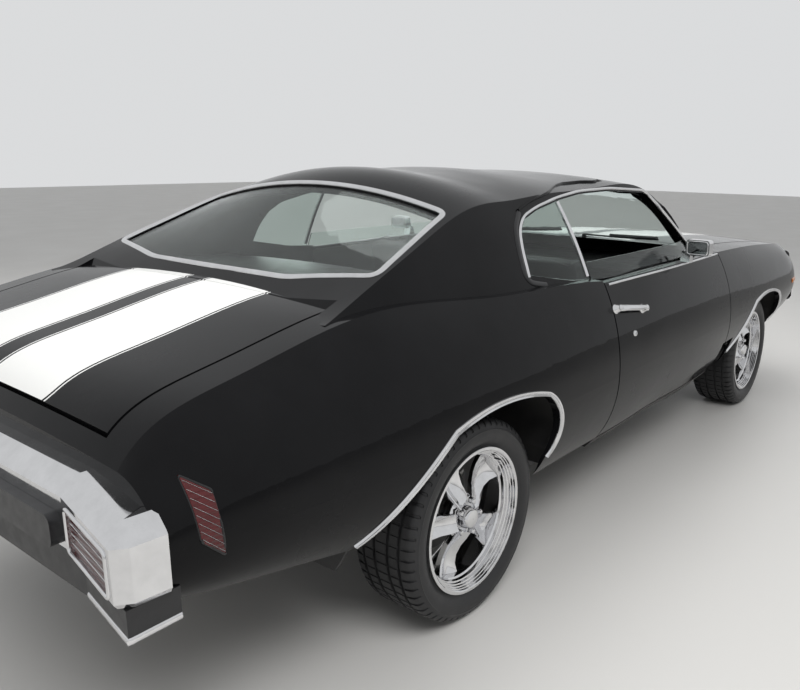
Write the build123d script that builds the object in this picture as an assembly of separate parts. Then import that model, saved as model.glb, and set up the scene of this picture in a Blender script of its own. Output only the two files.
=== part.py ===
from build123d import *
from math import atan2, cos, hypot, sin
import os

# A two-door muscle car with a fixed roof, on its wheels, at real size.
# Millimetres. +X points forward, +Y to the car's left, +Z up.
# The parts are drawn from a point between the axles. When they are written they
# are moved so that the origin is on the ground, under the middle of the car.

# Overall sizes and places of the axles
LENGTH = 5009.0
REAR_SHARE = 0.4841
WHEELBASE = 2845.0
REAR_AXLE_X = -1235.0
FRONT_AXLE_X = REAR_AXLE_X + WHEELBASE
HALF_TRACK = 760.0
TYRE_R = 335.0
TYRE_W = 245.0
BUMPER_OUT_FRONT = 100.0
BUMPER_OUT_REAR = 97.0
REAR_FACE_X = -LENGTH * REAR_SHARE
FRONT_FACE_X = REAR_FACE_X + LENGTH
NOSE_X = FRONT_FACE_X - BUMPER_OUT_FRONT
TAIL_X = REAR_FACE_X + BUMPER_OUT_REAR
MIDDLE_X = (REAR_FACE_X + FRONT_FACE_X) / 2
SKIN = 28.0
EDGE_T = 4.0
GAP = 8.0
FIT = 0.3


def between(start, end, share):
    return start + (end - start) * share


# Lower body, one row for each station along the car
BODY_COLUMNS = ("x", "bottom_y", "bottom_z", "wide_y", "wide_z", "crest_y", "crest_z", "crown_z")
BODY_ROWS = (
    (TAIL_X, 775.0, 548.0, 878.0, 690.0, 742.0, 842.0, 864.0),
    (between(TAIL_X, REAR_AXLE_X, 0.09), 796.0, 522.0, 902.0, 690.0, 752.0, 930.0, 948.0),
    (between(TAIL_X, REAR_AXLE_X, 0.36), 815.0, 462.0, 926.0, 680.0, 757.0, 1003.0, 1020.0),
    (between(TAIL_X, REAR_AXLE_X, 0.635), 830.0, 402.0, 942.0, 665.0, 762.0, 1057.0, 1078.0),
    (REAR_AXLE_X, 838.0, 345.0, 952.0, 650.0, 798.0, 1048.0, 1074.0),
    (between(REAR_AXLE_X, FRONT_AXLE_X, 0.15), 828.0, 328.0, 954.0, 645.0, 829.0, 1030.0, 1054.0),
    (between(REAR_AXLE_X, FRONT_AXLE_X, 0.2935), 822.0, 318.0, 955.0, 642.0, 852.0, 1010.0, 1036.0),
    (between(REAR_AXLE_X, FRONT_AXLE_X, 0.415), 819.0, 316.0, 956.0, 642.0, 859.0, 1007.0, 1032.0),
    (between(REAR_AXLE_X, FRONT_AXLE_X, 0.54), 818.0, 315.0, 957.0, 642.0, 862.0, 1006.0, 1032.0),
    (between(REAR_AXLE_X, FRONT_AXLE_X, 0.761), 818.0, 318.0, 955.0, 645.0, 850.0, 1000.0, 1032.0),
    (between(REAR_AXLE_X, FRONT_AXLE_X, 0.885), 824.0, 336.0, 952.0, 650.0, 836.0, 989.0, 1024.0),
    (FRONT_AXLE_X, 832.0, 362.0, 948.0, 658.0, 818.0, 974.0, 1011.0),
    (between(FRONT_AXLE_X, NOSE_X, 0.35), 820.0, 404.0, 940.0, 660.0, 804.0, 955.0, 990.0),
    (between(FRONT_AXLE_X, NOSE_X, 0.70), 805.0, 450.0, 928.0, 662.0, 790.0, 932.0, 964.0),
    (NOSE_X, 745.0, 520.0, 888.0, 668.0, 762.0, 898.0, 922.0),
)

# Upper body from the windscreen's foot to the ends of the sail panels
CABIN_COLUMNS = ("x", "foot_y", "rail_y", "rail_z", "crown_z")
CABIN_FOOT_Z = 960.0
CABIN_ROWS = (
    (815.0, 812.0, 778.0, 1015.0, 1038.0),
    (600.0, 830.0, 728.0, 1172.0, 1204.0),
    (330.0, 842.0, 668.0, 1338.0, 1380.0),
    (0.0, 848.0, 652.0, 1358.0, 1412.0),
    (-400.0, 845.0, 646.0, 1342.0, 1426.0),
    (-760.0, 830.0, 642.0, 1322.0, 1420.0),
    (-1060.0, 812.0, 650.0, 1290.0, 1384.0),
    (-1200.0, 803.0, 668.0, 1246.0, 1304.0),
    (-1455.0, 786.0, 700.0, 1152.0, 1162.0),
    (-1600.0, 776.0, 712.0, 1094.0, 1080.0),
    (-1740.0, 764.0, 735.0, 1046.0, 1020.0),
)
ROOF_T = 34.0
GLASS_IN = 8.0
GLASS_T = 5.0

# Doors, with each hinge's axis ahead of the door's front edge
DOOR_FRONT_X = 923.0
DOOR_REAR_X = -400.0
DOOR_BOTTOM_Z = 368.0
DOOR_TOP_Z = 1002.0
DOOR_INNER_Y = 822.0
DOOR_REAR_SLANT = 20.0
DOOR_LIP = 30.0
HINGE_X = DOOR_FRONT_X + 90.0
HINGE_Y = 910.0
HINGE_LEVELS = (520.0, 770.0)
EYE_R = 13.0
PIN_R = 8.0
PLAY = 0.4
STRAP_HALF = 12.0
EAR_T = 9.0
HINGE_STRAP = ((-7, 0), (-25, -75), (-130, -75), (-130, -88), (-14, -88), (7, 0))
HINGE_EAR = ((-12, 0), (12, 0), (-6, -112), (-44, -112))

# Lids, with their gooseneck arms drawn in side view from the pivot
LID_GAP = GAP + 1.0
HOOD_REAR_X = 975.0
HOOD_SEAM_Z = 1028.0
HOOD_FRONT_X = NOSE_X - 62.0
HOOD_HALF_Y = 690.0
HOOD_PIVOT = (905.0, 960.0)
HOOD_ARM = ((-9, 3), (12, -128), (120, -86), (190, 36), (168, 36), (110, -62), (32, -102), (9, 3))
HOOD_ARM_Y = 655.0
DECK_FRONT_X = -1640.0
DECK_SEAM_Z = 1070.0
DECK_REAR_X = TAIL_X + 38.0
DECK_HALF_Y = 645.0
DECK_PIVOT = (-1540.0, 1018.0)
DECK_ARM = ((8, -3), (-58, -128), (-110, -126), (-196, 20), (-174, 20), (-100, -104), (-68, -110), (-8, 3))
DECK_ARM_Y = 500.0
ARM_T = 12.0

# Wheel openings and houses: distance ahead of the axle and height under the opening's top
ARCH_COLUMNS = ("ahead", "below")
ARCH_ROWS = ((-535, 255), (-375, 137), (-205, 27), (35, 0), (285, 35), (370, 125), (352, 285))
HOUSE_ROWS = ((-562, 255), (-392, 122), (-212, 8), (35, -18), (300, 18), (412, 125), (412, 280))
FRONT_ARCH_Z = 698.0
REAR_ARCH_Z = 733.0
FRONT_HOUSE_Y = HALF_TRACK - 312.0
REAR_HOUSE_Y = HALF_TRACK - 152.0
HOUSE_T = 6.0
HOUSE_WINDOW_Z = 510.0

# Floor, frame and seats
KINGPIN_Y = HALF_TRACK - 92.0
RIM_HUB_IN = 17.0
FLOOR_Z = 343.0
FLOOR_T = 14.0
BOOT_FLOOR_Z = 530.0
BOOT_HALF_Y = REAR_HOUSE_Y - 18.0
STEP_X = -725.0
SEAT_Z = 425.0
SEAT_TOP_Z = 555.0
TUNNEL = ((STEP_X, FLOOR_Z), (STEP_X, 445.0), (-300.0, 455.0), (480.0, 550.0), (990.0, 615.0),
          (990.0, FLOOR_Z))
TUNNEL_HALF_Y = 135.0
REAR_PAN_Z = 462.0
REAR_PAN_X = -340.0
SEAT_Y = 390.0
SEAT_HALF = 250.0
FIREWALL_X = 990.0
ENGINE_X = 1150.0
ENGINE_Z = 345.0
GEARBOX_X = 500.0
GEARBOX_Z = 440.0
RAIL_HIGH = 84.0
RAIL_WIDE = 70.0
SIDE_RAIL_Y = 620.0
SIDE_RAIL_Z = 285.0
FRONT_RAIL_Y = FRONT_HOUSE_Y - 48.0
FRONT_RAIL_Z = 290.0
REAR_RAIL_Y = REAR_HOUSE_Y - 88.0
REAR_RAIL_Z = 484.0
FRONT_END_X = NOSE_X - 45.0
FRONT_END_Z = 508.0

# Bumpers: plan paths from one wrapped end to the other, and open sections, outward and up
REAR_PATH_COLUMNS = ("x", "y", "drop")
REAR_PATH = ((TAIL_X + 12, -893.0, 34.0), (REAR_FACE_X + 32, -886.0, 34.0), (REAR_FACE_X + 2, -862.0, 34.0),
             (REAR_FACE_X + 25, -640.0, 0.0))
REAR_SECTION = ((-100, 824), (-44, 822), (-6, 790), (0, 782), (0, 664), (-8, 652), (-20, 648), (-36, 648),
                (-36, 654), (-22, 654), (-12, 658), (-6, 668), (-6, 780), (-12, 786), (-46, 816), (-100, 818))
REAR_FILLED = REAR_SECTION[:7] + ((-100, 648),)
FRONT_PATH = ((NOSE_X - 90, 908.0), (NOSE_X + 5, 880.0), (FRONT_FACE_X - 38, 690.0),
              (FRONT_FACE_X, 250.0))
FRONT_SECTION = ((-101, 662), (-18, 656), (0, 632), (0, 568), (-12, 545), (-26, 538), (-42, 538),
                 (-42, 544), (-28, 544), (-17, 550), (-6, 570), (-6, 630), (-21, 650), (-101, 656))
PAD_HALF_Y = 630.0
PAD_Z = (668.0, 744.0)
LAMP_COLUMNS = ("y", "low", "high")
LAMP_EDGES = ((-656.0, 668.0, 756.0), (-838.0, 640.0, 730.0))
VALANCE_H = 76.0
VALANCE_T = 12.0


def across(x):
    """The plane of a section at a place along the car."""
    return Plane(origin=(x, 0, 0), x_dir=(0, 1, 0), z_dir=(1, 0, 0))


def arc_mid(wide_y, wide_z, end_y, end_z):
    """Middle of the arc that leaves the widest point straight up or down."""
    rise = end_z - wide_z
    drop = wide_y - end_y
    r = (drop * drop + rise * rise) / (2 * drop)
    angle = atan2(rise, r - drop) / 2
    return wide_y - r + r * cos(angle), wide_z + r * sin(angle)


def body_section(row, inset):
    """One closed section of the lower body, smaller by the inset."""
    s = dict(zip(BODY_COLUMNS, row))
    low_y = s["bottom_y"] - inset
    low_z = s["bottom_z"] - (60.0 if inset > 0 else 0.0)
    wide_y = s["wide_y"] - inset
    wide_z = s["wide_z"]
    crest_y = s["crest_y"] - inset * 0.8
    crest_z = s["crest_z"] - inset
    crown_z = s["crown_z"] - inset
    low_mid = arc_mid(wide_y, wide_z, low_y, low_z)
    high_mid = arc_mid(wide_y, wide_z, crest_y, crest_z)
    with BuildSketch(across(s["x"])) as sketch:
        with BuildLine():
            Line((-low_y, low_z), (low_y, low_z))
            ThreePointArc((low_y, low_z), low_mid, (wide_y, wide_z))
            ThreePointArc((wide_y, wide_z), high_mid, (crest_y, crest_z))
            ThreePointArc((crest_y, crest_z), (0, crown_z), (-crest_y, crest_z))
            ThreePointArc((-crest_y, crest_z), (-high_mid[0], high_mid[1]), (-wide_y, wide_z))
            ThreePointArc((-wide_y, wide_z), (-low_mid[0], low_mid[1]), (-low_y, low_z))
        make_face()
    return sketch.sketch.faces()[0]


def lower_body(inset=0.0):
    return loft([body_section(row, inset) for row in BODY_ROWS])


def cabin_section(row, inset):
    """One closed section of the upper body, smaller by the inset."""
    s = dict(zip(CABIN_COLUMNS, row))
    foot_y = s["foot_y"] - inset
    rail_y = s["rail_y"] - inset * 0.8
    rail_z = s["rail_z"] - inset
    crown_z = s["crown_z"] - inset
    side_y = (foot_y + rail_y) / 2 + 0.035 * (rail_z - CABIN_FOOT_Z)
    side_z = (CABIN_FOOT_Z + rail_z) / 2
    low_z = CABIN_FOOT_Z - inset
    with BuildSketch(across(s["x"])) as sketch:
        with BuildLine():
            Line((-foot_y, low_z), (foot_y, low_z))
            ThreePointArc((foot_y, low_z), (side_y, side_z), (rail_y, rail_z))
            ThreePointArc((rail_y, rail_z), (0, crown_z), (-rail_y, rail_z))
            ThreePointArc((-rail_y, rail_z), (-side_y, side_z), (-foot_y, low_z))
        make_face()
    return sketch.sketch.faces()[0]


def upper_body(inset=0.0):
    return loft([cabin_section(row, inset) for row in CABIN_ROWS])


def block(x0, x1, y0, y1, z0, z1):
    """A box from its lowest and highest corners."""
    return Pos((x0 + x1) / 2, (y0 + y1) / 2, (z0 + z1) / 2) * Box(x1 - x0, y1 - y0, z1 - z0)


def side_prism(points, y0, y1):
    """A side-view outline, x and z, pushed across the car from y0 to y1."""
    plane = Plane(origin=(0, y1, 0), x_dir=(1, 0, 0), z_dir=(0, -1, 0))
    with BuildSketch(plane) as sketch:
        with BuildLine():
            Polyline(*points, close=True)
        make_face()
    return extrude(sketch.sketch, amount=y1 - y0)


def plan_prism(points, z0, z1):
    """A plan outline, x and y, pushed up from z0 to z1."""
    with BuildSketch(Plane.XY.offset(z0)) as sketch:
        with BuildLine():
            Polyline(*points, close=True)
        make_face()
    return extrude(sketch.sketch, amount=z1 - z0)


def rod(p, q, r):
    """A round bar between two points."""
    axis = Vector(*q) - Vector(*p)
    plane = Plane(origin=p, z_dir=axis)
    return extrude(plane * Circle(r), amount=axis.length)


def beam(p, q, wide, high):
    """A square bar between two points, its width level."""
    axis = Vector(*q) - Vector(*p)
    level = Vector(-axis.Y, axis.X, 0)
    plane = Plane(origin=p, x_dir=level, z_dir=axis)
    return extrude(plane * Rectangle(wide, high), amount=axis.length)


def solids_of(shape):
    return [s for s in shape.solids() if s.volume > 1.0]


def mirrored(shape):
    return mirror(shape, about=Plane.XZ)


def both(shape):
    """The shape and its mirror image on the other side of the car."""
    return solids_of(shape) + solids_of(mirrored(shape))


def fused(shapes):
    result = shapes[0]
    for s in shapes[1:]:
        result = result + s
    return result


def shifted(points, x, y):
    return [(x + px, y + py) for px, py in points]


OUTER = lower_body()
INNER = lower_body(SKIN)
PANELS = OUTER - INNER
EDGE_CORE = lower_body(EDGE_T)
CABIN_OUT = upper_body()
CABIN_IN = upper_body(ROOF_T)


def door_outline(grow, inner_y):
    """A left door's plan outline, larger by the given gap."""
    front = DOOR_FRONT_X + grow
    rear = DOOR_REAR_X - grow
    outline = [(front, inner_y), (front, 1100.0), (rear, 1100.0), (rear, 955.0)]
    outline += [(rear + DOOR_REAR_SLANT, DOOR_INNER_Y)]
    if inner_y < DOOR_INNER_Y:
        outline += [(rear + DOOR_REAR_SLANT, inner_y)]
    return outline


def door_void():
    """What a left door and its opening take out of the body."""
    return plan_prism(door_outline(GAP, 600.0), DOOR_BOTTOM_Z - GAP, 1200.0)


def hinge_strap(level):
    """The strap of a left door's hinge, which hooks round the fender's rear edge."""
    strap = plan_prism(shifted(HINGE_STRAP, HINGE_X, HINGE_Y), level - STRAP_HALF, level + STRAP_HALF)
    eye = rod((HINGE_X, HINGE_Y, level - STRAP_HALF), (HINGE_X, HINGE_Y, level + STRAP_HALF), EYE_R)
    hole = rod((HINGE_X, HINGE_Y, level - 20), (HINGE_X, HINGE_Y, level + 20), PIN_R + PLAY)
    return strap + eye - hole


def hinge_base(level):
    """The two ears on the left pillar that hold a door hinge's pin."""
    ears = []
    for low in (level - STRAP_HALF - 1.5 - EAR_T, level + STRAP_HALF + 1.5):
        ears.append(plan_prism(shifted(HINGE_EAR, HINGE_X, HINGE_Y), low, low + EAR_T))
        ears.append(rod((HINGE_X, HINGE_Y, low), (HINGE_X, HINGE_Y, low + EAR_T), EYE_R))
    pin = rod((HINGE_X, HINGE_Y, level - 26), (HINGE_X, HINGE_Y, level + 26), PIN_R)
    return fused(ears + [pin])


def door():
    """A left door with the thin lip of its skin at the front and its two hinge straps."""
    body = OUTER & plan_prism(door_outline(0.0, DOOR_INNER_Y), DOOR_BOTTOM_Z, DOOR_TOP_Z)
    core = EDGE_CORE & block(DOOR_FRONT_X - DOOR_LIP, DOOR_FRONT_X + 1, 700, 1100, 200, 1200)
    return fused([body - core] + [hinge_strap(level) for level in HINGE_LEVELS])


def hood_region(grow):
    top = 1140.0
    low = 800.0
    outline = [(HOOD_REAR_X - grow - top + HOOD_SEAM_Z, top), (HOOD_REAR_X - grow + HOOD_SEAM_Z - low, low)]
    outline += [(HOOD_FRONT_X + grow, low), (HOOD_FRONT_X + grow, top)]
    return side_prism(outline, -HOOD_HALF_Y - grow, HOOD_HALF_Y + grow)


def deck_region(grow):
    top = 1160.0
    low = 780.0
    outline = [(DECK_FRONT_X + grow + top - DECK_SEAM_Z, top), (DECK_FRONT_X + grow - DECK_SEAM_Z + low, low)]
    outline += [(DECK_REAR_X - grow, low), (DECK_REAR_X - grow, top)]
    return side_prism(outline, -DECK_HALF_Y - grow, DECK_HALF_Y + grow)


def lid_arm(outline, pivot, y):
    """A gooseneck arm with its eye, from y to the left."""
    arm = side_prism(shifted(outline, *pivot), y, y + ARM_T)
    eye = rod((pivot[0], y, pivot[1]), (pivot[0], y + ARM_T, pivot[1]), EYE_R + 1)
    hole = rod((pivot[0], y - 5, pivot[1]), (pivot[0], y + ARM_T + 5, pivot[1]), PIN_R + PLAY)
    return arm + eye - hole


def lid_ear(pivot, y, top):
    """The ear inboard of a lid's arm, with the pin that carries it."""
    x, z = pivot
    ear = block(x - 24, x + 24, y - EAR_T - 1.5, y - 1.5, z, top)
    boss = rod((x, y - EAR_T - 1.5, z), (x, y - 1.5, z), EYE_R + 5)
    pin = rod((x, y - EAR_T - 1.5, z), (x, y + ARM_T + 4, z), PIN_R)
    return fused([ear, boss, pin])


def wheel_outline(rows, axle_x, top_z, y0, y1, grow=0.0, low_z=150.0):
    """The side-view shape over a wheel, three arcs and a flat bottom, pushed across."""
    points = []
    for row in rows:
        s = dict(zip(ARCH_COLUMNS, row))
        rise = 300.0 - s["below"]
        scale = 1 + grow / hypot(s["ahead"], rise)
        points.append((axle_x + s["ahead"] * scale, top_z - 300.0 + rise * scale))
    plane = Plane(origin=(0, y1, 0), x_dir=(1, 0, 0), z_dir=(0, -1, 0))
    with BuildSketch(plane) as sketch:
        with BuildLine():
            ThreePointArc(points[0], points[1], points[2])
            ThreePointArc(points[2], points[3], points[4])
            ThreePointArc(points[4], points[5], points[6])
            Polyline(points[6], (points[6][0], low_z), (points[0][0], low_z), points[0])
        make_face()
    return extrude(sketch.sketch, amount=y1 - y0)


FRONT_ARCH = wheel_outline(ARCH_ROWS, FRONT_AXLE_X, FRONT_ARCH_Z, -1100, 1100)
REAR_ARCH = wheel_outline(ARCH_ROWS, REAR_AXLE_X, REAR_ARCH_Z, -1100, 1100)

# Windows, as outlines seen from the side and from above
SIDE_WINDOW = ((742.0, 1004.0), (338.0, 1318.0), (0.0, 1336.0), (-263.0, 1330.0), (-440.0, 1312.0),
               (-610.0, 1284.0), (-715.0, 1256.0), (-772.0, 1212.0), (-800.0, 1150.0), (-814.0, 1074.0),
               (-667.0, 1046.0), (-424.0, 1004.0))
SCREEN_PLAN = ((795.0, -742.0), (348.0, -606.0), (348.0, 606.0), (795.0, 742.0))
SCREEN_Z = 1042.0
REAR_PLAN = ((-1092.0, -606.0), (-1480.0, -668.0), (-1540.0, -360.0), (-1540.0, 360.0),
             (-1480.0, 668.0), (-1092.0, 606.0))
REAR_WINDOW_Z = 1088.0
SPLIT_X = -425.0
DOOR_GLASS_TOP_Z = 1078.0

SIDE_CUT = side_prism(SIDE_WINDOW, -1000.0, 1000.0)
SCREEN_CUT = plan_prism(SCREEN_PLAN, SCREEN_Z, 1500.0)
REAR_CUT = plan_prism(REAR_PLAN, REAR_WINDOW_Z, 1500.0)
GLASS_LAYER = upper_body(GLASS_IN) - upper_body(GLASS_IN + GLASS_T) - OUTER


def roof():
    shell = CABIN_OUT - CABIN_IN - OUTER
    shell = shell - SIDE_CUT - SCREEN_CUT - REAR_CUT - deck_region(LID_GAP)
    return [max(shell.solids(), key=lambda s: s.volume)]


def fixed_glass():
    """Windscreen, rear window and the two quarter windows."""
    quarter = GLASS_LAYER & SIDE_CUT & block(-900.0, SPLIT_X, 500.0, 1000.0, 900.0, 1400.0)
    return solids_of(GLASS_LAYER & SCREEN_CUT) + solids_of(GLASS_LAYER & REAR_CUT) + both(quarter)


def door_glass():
    """The strip of a left door's lowered window that stands above the door."""
    strip = block(SPLIT_X + 12, 640.0, 500.0, 1000.0, DOOR_TOP_Z + FIT, DOOR_GLASS_TOP_Z)
    return GLASS_LAYER & SIDE_CUT & strip


def cabin_mouth():
    """The hole in the lower body's top, under the roof."""
    outline = [(790.0, -770.0), (-400.0, -800.0), (-1040.0, -745.0)]
    outline += [(x, -y) for x, y in reversed(outline)]
    return plan_prism(outline, 800.0, 1200.0)


def shelf_region():
    return plan_prism([(-1032.0, -640.0), (-1490.0, -600.0), (-1490.0, 600.0), (-1032.0, 640.0)], 900.0, 1200.0)


def quarter_panels():
    front = DOOR_REAR_X - GAP + DOOR_REAR_SLANT
    shell = PANELS & block(TAIL_X + 30, front, -1000, 1000, 200, 1200)
    shell = shell - door_void() - mirrored(door_void())
    shell = shell - deck_region(LID_GAP) - REAR_ARCH - cabin_mouth() - shelf_region()
    ears = both(lid_ear(DECK_PIVOT, DECK_ARM_Y, DECK_SEAM_Z - 18))
    return solids_of(fused([shell] + ears))


def parcel_shelf():
    """The trimmed shelf behind the rear seat, under the rear window."""
    return (PANELS & shelf_region()) - cabin_mouth()


def tail_panel():
    return OUTER & block(TAIL_X, TAIL_X + 30, -1000, 1000, 200, 1200)


def fenders():
    half = HOOD_HALF_Y + LID_GAP
    rear = DOOR_FRONT_X + GAP
    shell = PANELS & block(rear, NOSE_X, -1000, 1000, 200, 1200)
    shell = shell - hood_region(LID_GAP) - FRONT_ARCH
    shell = shell - block(800, HOOD_REAR_X + 250, -half, half, 200, 1200)
    thin = EDGE_CORE & block(rear - 1, HINGE_X + 45, -1000, 1000, 200, 1200)
    return solids_of(shell - thin)


def firewall():
    """Cowl, firewall and the pillars that carry the doors and the hood."""
    half = HOOD_HALF_Y + LID_GAP
    side = DOOR_INNER_Y - GAP
    top = 970.0
    cowl = PANELS & block(DOOR_FRONT_X + GAP, HOOD_REAR_X + 250, -half, half, 800, 1200)
    cowl = cowl + (PANELS & block(800, DOOR_FRONT_X + GAP, -side, side, 900, 1200))
    cowl = cowl - hood_region(LID_GAP)
    low = block(FIREWALL_X, FIREWALL_X + 12, -640, 640, FLOOR_Z, top)
    shelf = (INNER & block(845, FIREWALL_X + 12, -half, half, top - 5, 1200)) - hood_region(LID_GAP)
    pillars = both(block(960, 1010, 745, 800, FLOOR_Z + FLOOR_T, top))
    bars = block(960, 1010, -800, 800, top - 15, top)
    bore = block(900, 1100, -TUNNEL_HALF_Y, TUNNEL_HALF_Y, 200, TUNNEL[4][1])
    body = fused([low, cowl, shelf, bars] + pillars) - bore
    for y in (HOOD_ARM_Y, -HOOD_ARM_Y - ARM_T):
        body = body - block(HOOD_PIVOT[0] - 22, FIREWALL_X + 30, y - 4, y + ARM_T + 7, 900, top + 30)
    ears = both(lid_ear(HOOD_PIVOT, HOOD_ARM_Y, top + 20))
    bases = [s for level in HINGE_LEVELS for s in both(hinge_base(level))]
    return fused([body] + ears + bases)


def hood():
    panel = PANELS & hood_region(0.0)
    return fused([panel] + both(lid_arm(HOOD_ARM, HOOD_PIVOT, HOOD_ARM_Y)))


def deck_lid():
    panel = PANELS & deck_region(0.0)
    return fused([panel] + both(lid_arm(DECK_ARM, DECK_PIVOT, DECK_ARM_Y)))


def floor_pan():
    """Floor with its tunnel, rockers, the step under the rear seat and the boot's floor."""
    rocker = OUTER & block(DOOR_REAR_X - GAP, DOOR_FRONT_X + GAP, 740, 1000, 200, DOOR_BOTTOM_Z - GAP)
    plate = block(STEP_X, FIREWALL_X, -800, 800, FLOOR_Z, FLOOR_Z + FLOOR_T)
    wall = block(STEP_X, STEP_X + 12, -BOOT_HALF_Y, BOOT_HALF_Y, FLOOR_Z, BOOT_FLOOR_Z + FLOOR_T)
    boot = block(TAIL_X + 30, STEP_X + 12, -BOOT_HALF_Y, BOOT_HALF_Y, BOOT_FLOOR_Z, BOOT_FLOOR_Z + FLOOR_T)
    hump = side_prism(TUNNEL, -TUNNEL_HALF_Y, TUNNEL_HALF_Y)
    bore = side_prism([(x, z - 12) for x, z in TUNNEL], -TUNNEL_HALF_Y + 12, TUNNEL_HALF_Y - 12)
    tracks = [block(60, 520, y - 20, y + 20, FLOOR_Z, SEAT_Z) for y in (-555, -225, 225, 555)]
    pan = block(STEP_X, REAR_PAN_X, -BOOT_HALF_Y, BOOT_HALF_Y, REAR_PAN_Z - 12, REAR_PAN_Z)
    heel = block(REAR_PAN_X - 12, REAR_PAN_X, -BOOT_HALF_Y, BOOT_HALF_Y, FLOOR_Z, REAR_PAN_Z)
    return fused([plate, wall, boot, hump, pan, heel] + tracks + both(rocker)) - bore


def wheel_house(axle_x, top_z, y0):
    """A house over a left wheel that follows the opening, with its inner wall."""
    tube = wheel_outline(HOUSE_ROWS, axle_x, top_z, y0, 980.0, HOUSE_T)
    hollow = wheel_outline(HOUSE_ROWS, axle_x, top_z, y0 + HOUSE_T, 990.0)
    low = block(axle_x - 700, axle_x + 700, y0 - 1, 1000, 100, TYRE_R + 60)
    window = block(axle_x - 700, axle_x + 700, y0 - 1, y0 + 60, 100, HOUSE_WINDOW_Z)
    return (tube - hollow - low - window) & INNER


def wheel_houses():
    front = wheel_house(FRONT_AXLE_X, FRONT_ARCH_Z, FRONT_HOUSE_Y)
    rear = wheel_house(REAR_AXLE_X, REAR_ARCH_Z, REAR_HOUSE_Y)
    return both(front) + both(rear)


def tyre_section():
    bead_r = 229.0
    bead_a = 100.0
    half = TYRE_W / 2
    with BuildSketch(Plane.XY) as sketch:
        with BuildLine():
            Polyline((-bead_a, bead_r + 16), (-bead_a, bead_r), (bead_a, bead_r), (bead_a, bead_r + 16))
            ThreePointArc((bead_a, bead_r + 16), (half, 286.0), (half - 9, TYRE_R - 14))
            Polyline((half - 9, TYRE_R - 14), (half - 24, TYRE_R - 1), (24 - half, TYRE_R - 1),
                     (9 - half, TYRE_R - 14))
            ThreePointArc((9 - half, TYRE_R - 14), (-half, 286.0), (-bead_a, bead_r + 16))
        make_face()
    return sketch.sketch


def wheel_place(x, y):
    """A wheel is made along X about its own axle and turned so that its face looks outward."""
    turn = 90 if y < 0 else -90
    return Pos(x, y, TYRE_R) * Rot(0, 0, turn)


def tyre(x, y):
    return wheel_place(x, y) * revolve(tyre_section(), Axis.X)


def rim_window():
    """One of the five openings between the spokes, drawn in the wheel's face."""
    with BuildSketch(Plane(origin=(0, 0, 0), x_dir=(0, 1, 0), z_dir=(-1, 0, 0))) as sketch:
        with BuildLine():
            Polyline((-28, 92), (-78, 178), (-30, 200), (30, 200), (78, 178), (28, 92), close=True)
        make_face()
        fillet(sketch.vertices(), 14)
    return extrude(sketch.sketch, amount=150, both=True)


def rim_solid():
    """Deep stepped rim and a dished face with five windows; its face looks along minus X."""
    with BuildSketch(Plane.XY) as sketch:
        with BuildLine():
            Polyline((-112, 229), (-112, 243), (-100.5, 243), (-100.5, 228.7), (100.5, 228.7), (100.5, 243),
                     (112, 243), (112, 229), (96, 217), (0, 203), (-60, 205), (-62, 212), (-84, 214), (-86, 221),
                     (-102, 223), close=True)
        make_face()
    barrel = revolve(sketch.sketch, Axis.X)
    with BuildSketch(Plane.XY) as sketch:
        with BuildLine():
            Polyline((-17, 0), (-17, 78), (-8, 120), (-22, 208), (-46, 208), (-40, 150), (-52, 96), (-66, 74),
                     (-70, 40), (-94, 34), (-96, 0), close=True)
        make_face()
    face = revolve(sketch.sketch, Axis.X)
    for i in range(5):
        face = face - Rot(72 * i, 0, 0) * rim_window()
    return barrel + face


RIM = rim_solid()


def rim(x, y):
    return wheel_place(x, y) * RIM


def knuckle(side):
    """Upright, spindle, hub and brake disc of a front wheel; side is 1 on the left."""
    y = side * KINGPIN_Y
    hub_y = HALF_TRACK + RIM_HUB_IN - FIT
    post = Pos(FRONT_AXLE_X, y, TYRE_R) * Box(56, 40, 200)
    pin = rod((FRONT_AXLE_X, y, TYRE_R), (FRONT_AXLE_X, side * hub_y, TYRE_R), 26)
    hub = rod((FRONT_AXLE_X, side * (hub_y - 12), TYRE_R), (FRONT_AXLE_X, side * hub_y, TYRE_R), 68)
    disc = rod((FRONT_AXLE_X, side * (KINGPIN_Y + 32), TYRE_R), (FRONT_AXLE_X, side * (KINGPIN_Y + 50), TYRE_R), 150)
    return fused([post, pin, hub, disc])


def front_suspension():
    """Crossmember, spring towers and the arms that carry the uprights."""
    top = FRONT_RAIL_Z - RAIL_HIGH / 2
    parts = [block(FRONT_AXLE_X - 70, FRONT_AXLE_X + 70, -FRONT_RAIL_Y - 34, FRONT_RAIL_Y + 34, 185, top)]
    parts += [block(FRONT_AXLE_X - 50, FRONT_AXLE_X + 50, y - 35, y + 35, top - 5, ENGINE_Z - FIT) for y in (-190, 190)]
    inner_y = FRONT_RAIL_Y - RAIL_WIDE / 2 - 65
    for side in (1, -1):
        near = min(side * inner_y, side * (inner_y + 63))
        parts.append(block(FRONT_AXLE_X - 60, FRONT_AXLE_X + 60, near, near + 63, 240, 500))
        parts.append(block(FRONT_AXLE_X - 210, FRONT_AXLE_X + 210, near, near + 63, 190, 232))
        parts.append(block(FRONT_AXLE_X - 140, FRONT_AXLE_X + 140, near, near + 63, 450, 490))
        for spread, in_z, out_z in ((190, 212, 218), (120, 470, 454)):
            for dx in (spread, -spread):
                start = (FRONT_AXLE_X + dx, side * (inner_y + 40), in_z)
                parts.append(rod(start, (FRONT_AXLE_X, side * KINGPIN_Y, out_z), 14))
        for z0, z1 in ((205, TYRE_R - 100 - FIT), (TYRE_R + 100 + FIT, 467)):
            parts.append(rod((FRONT_AXLE_X, side * KINGPIN_Y, z0), (FRONT_AXLE_X, side * KINGPIN_Y, z1), 17))
    return fused(parts)


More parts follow.
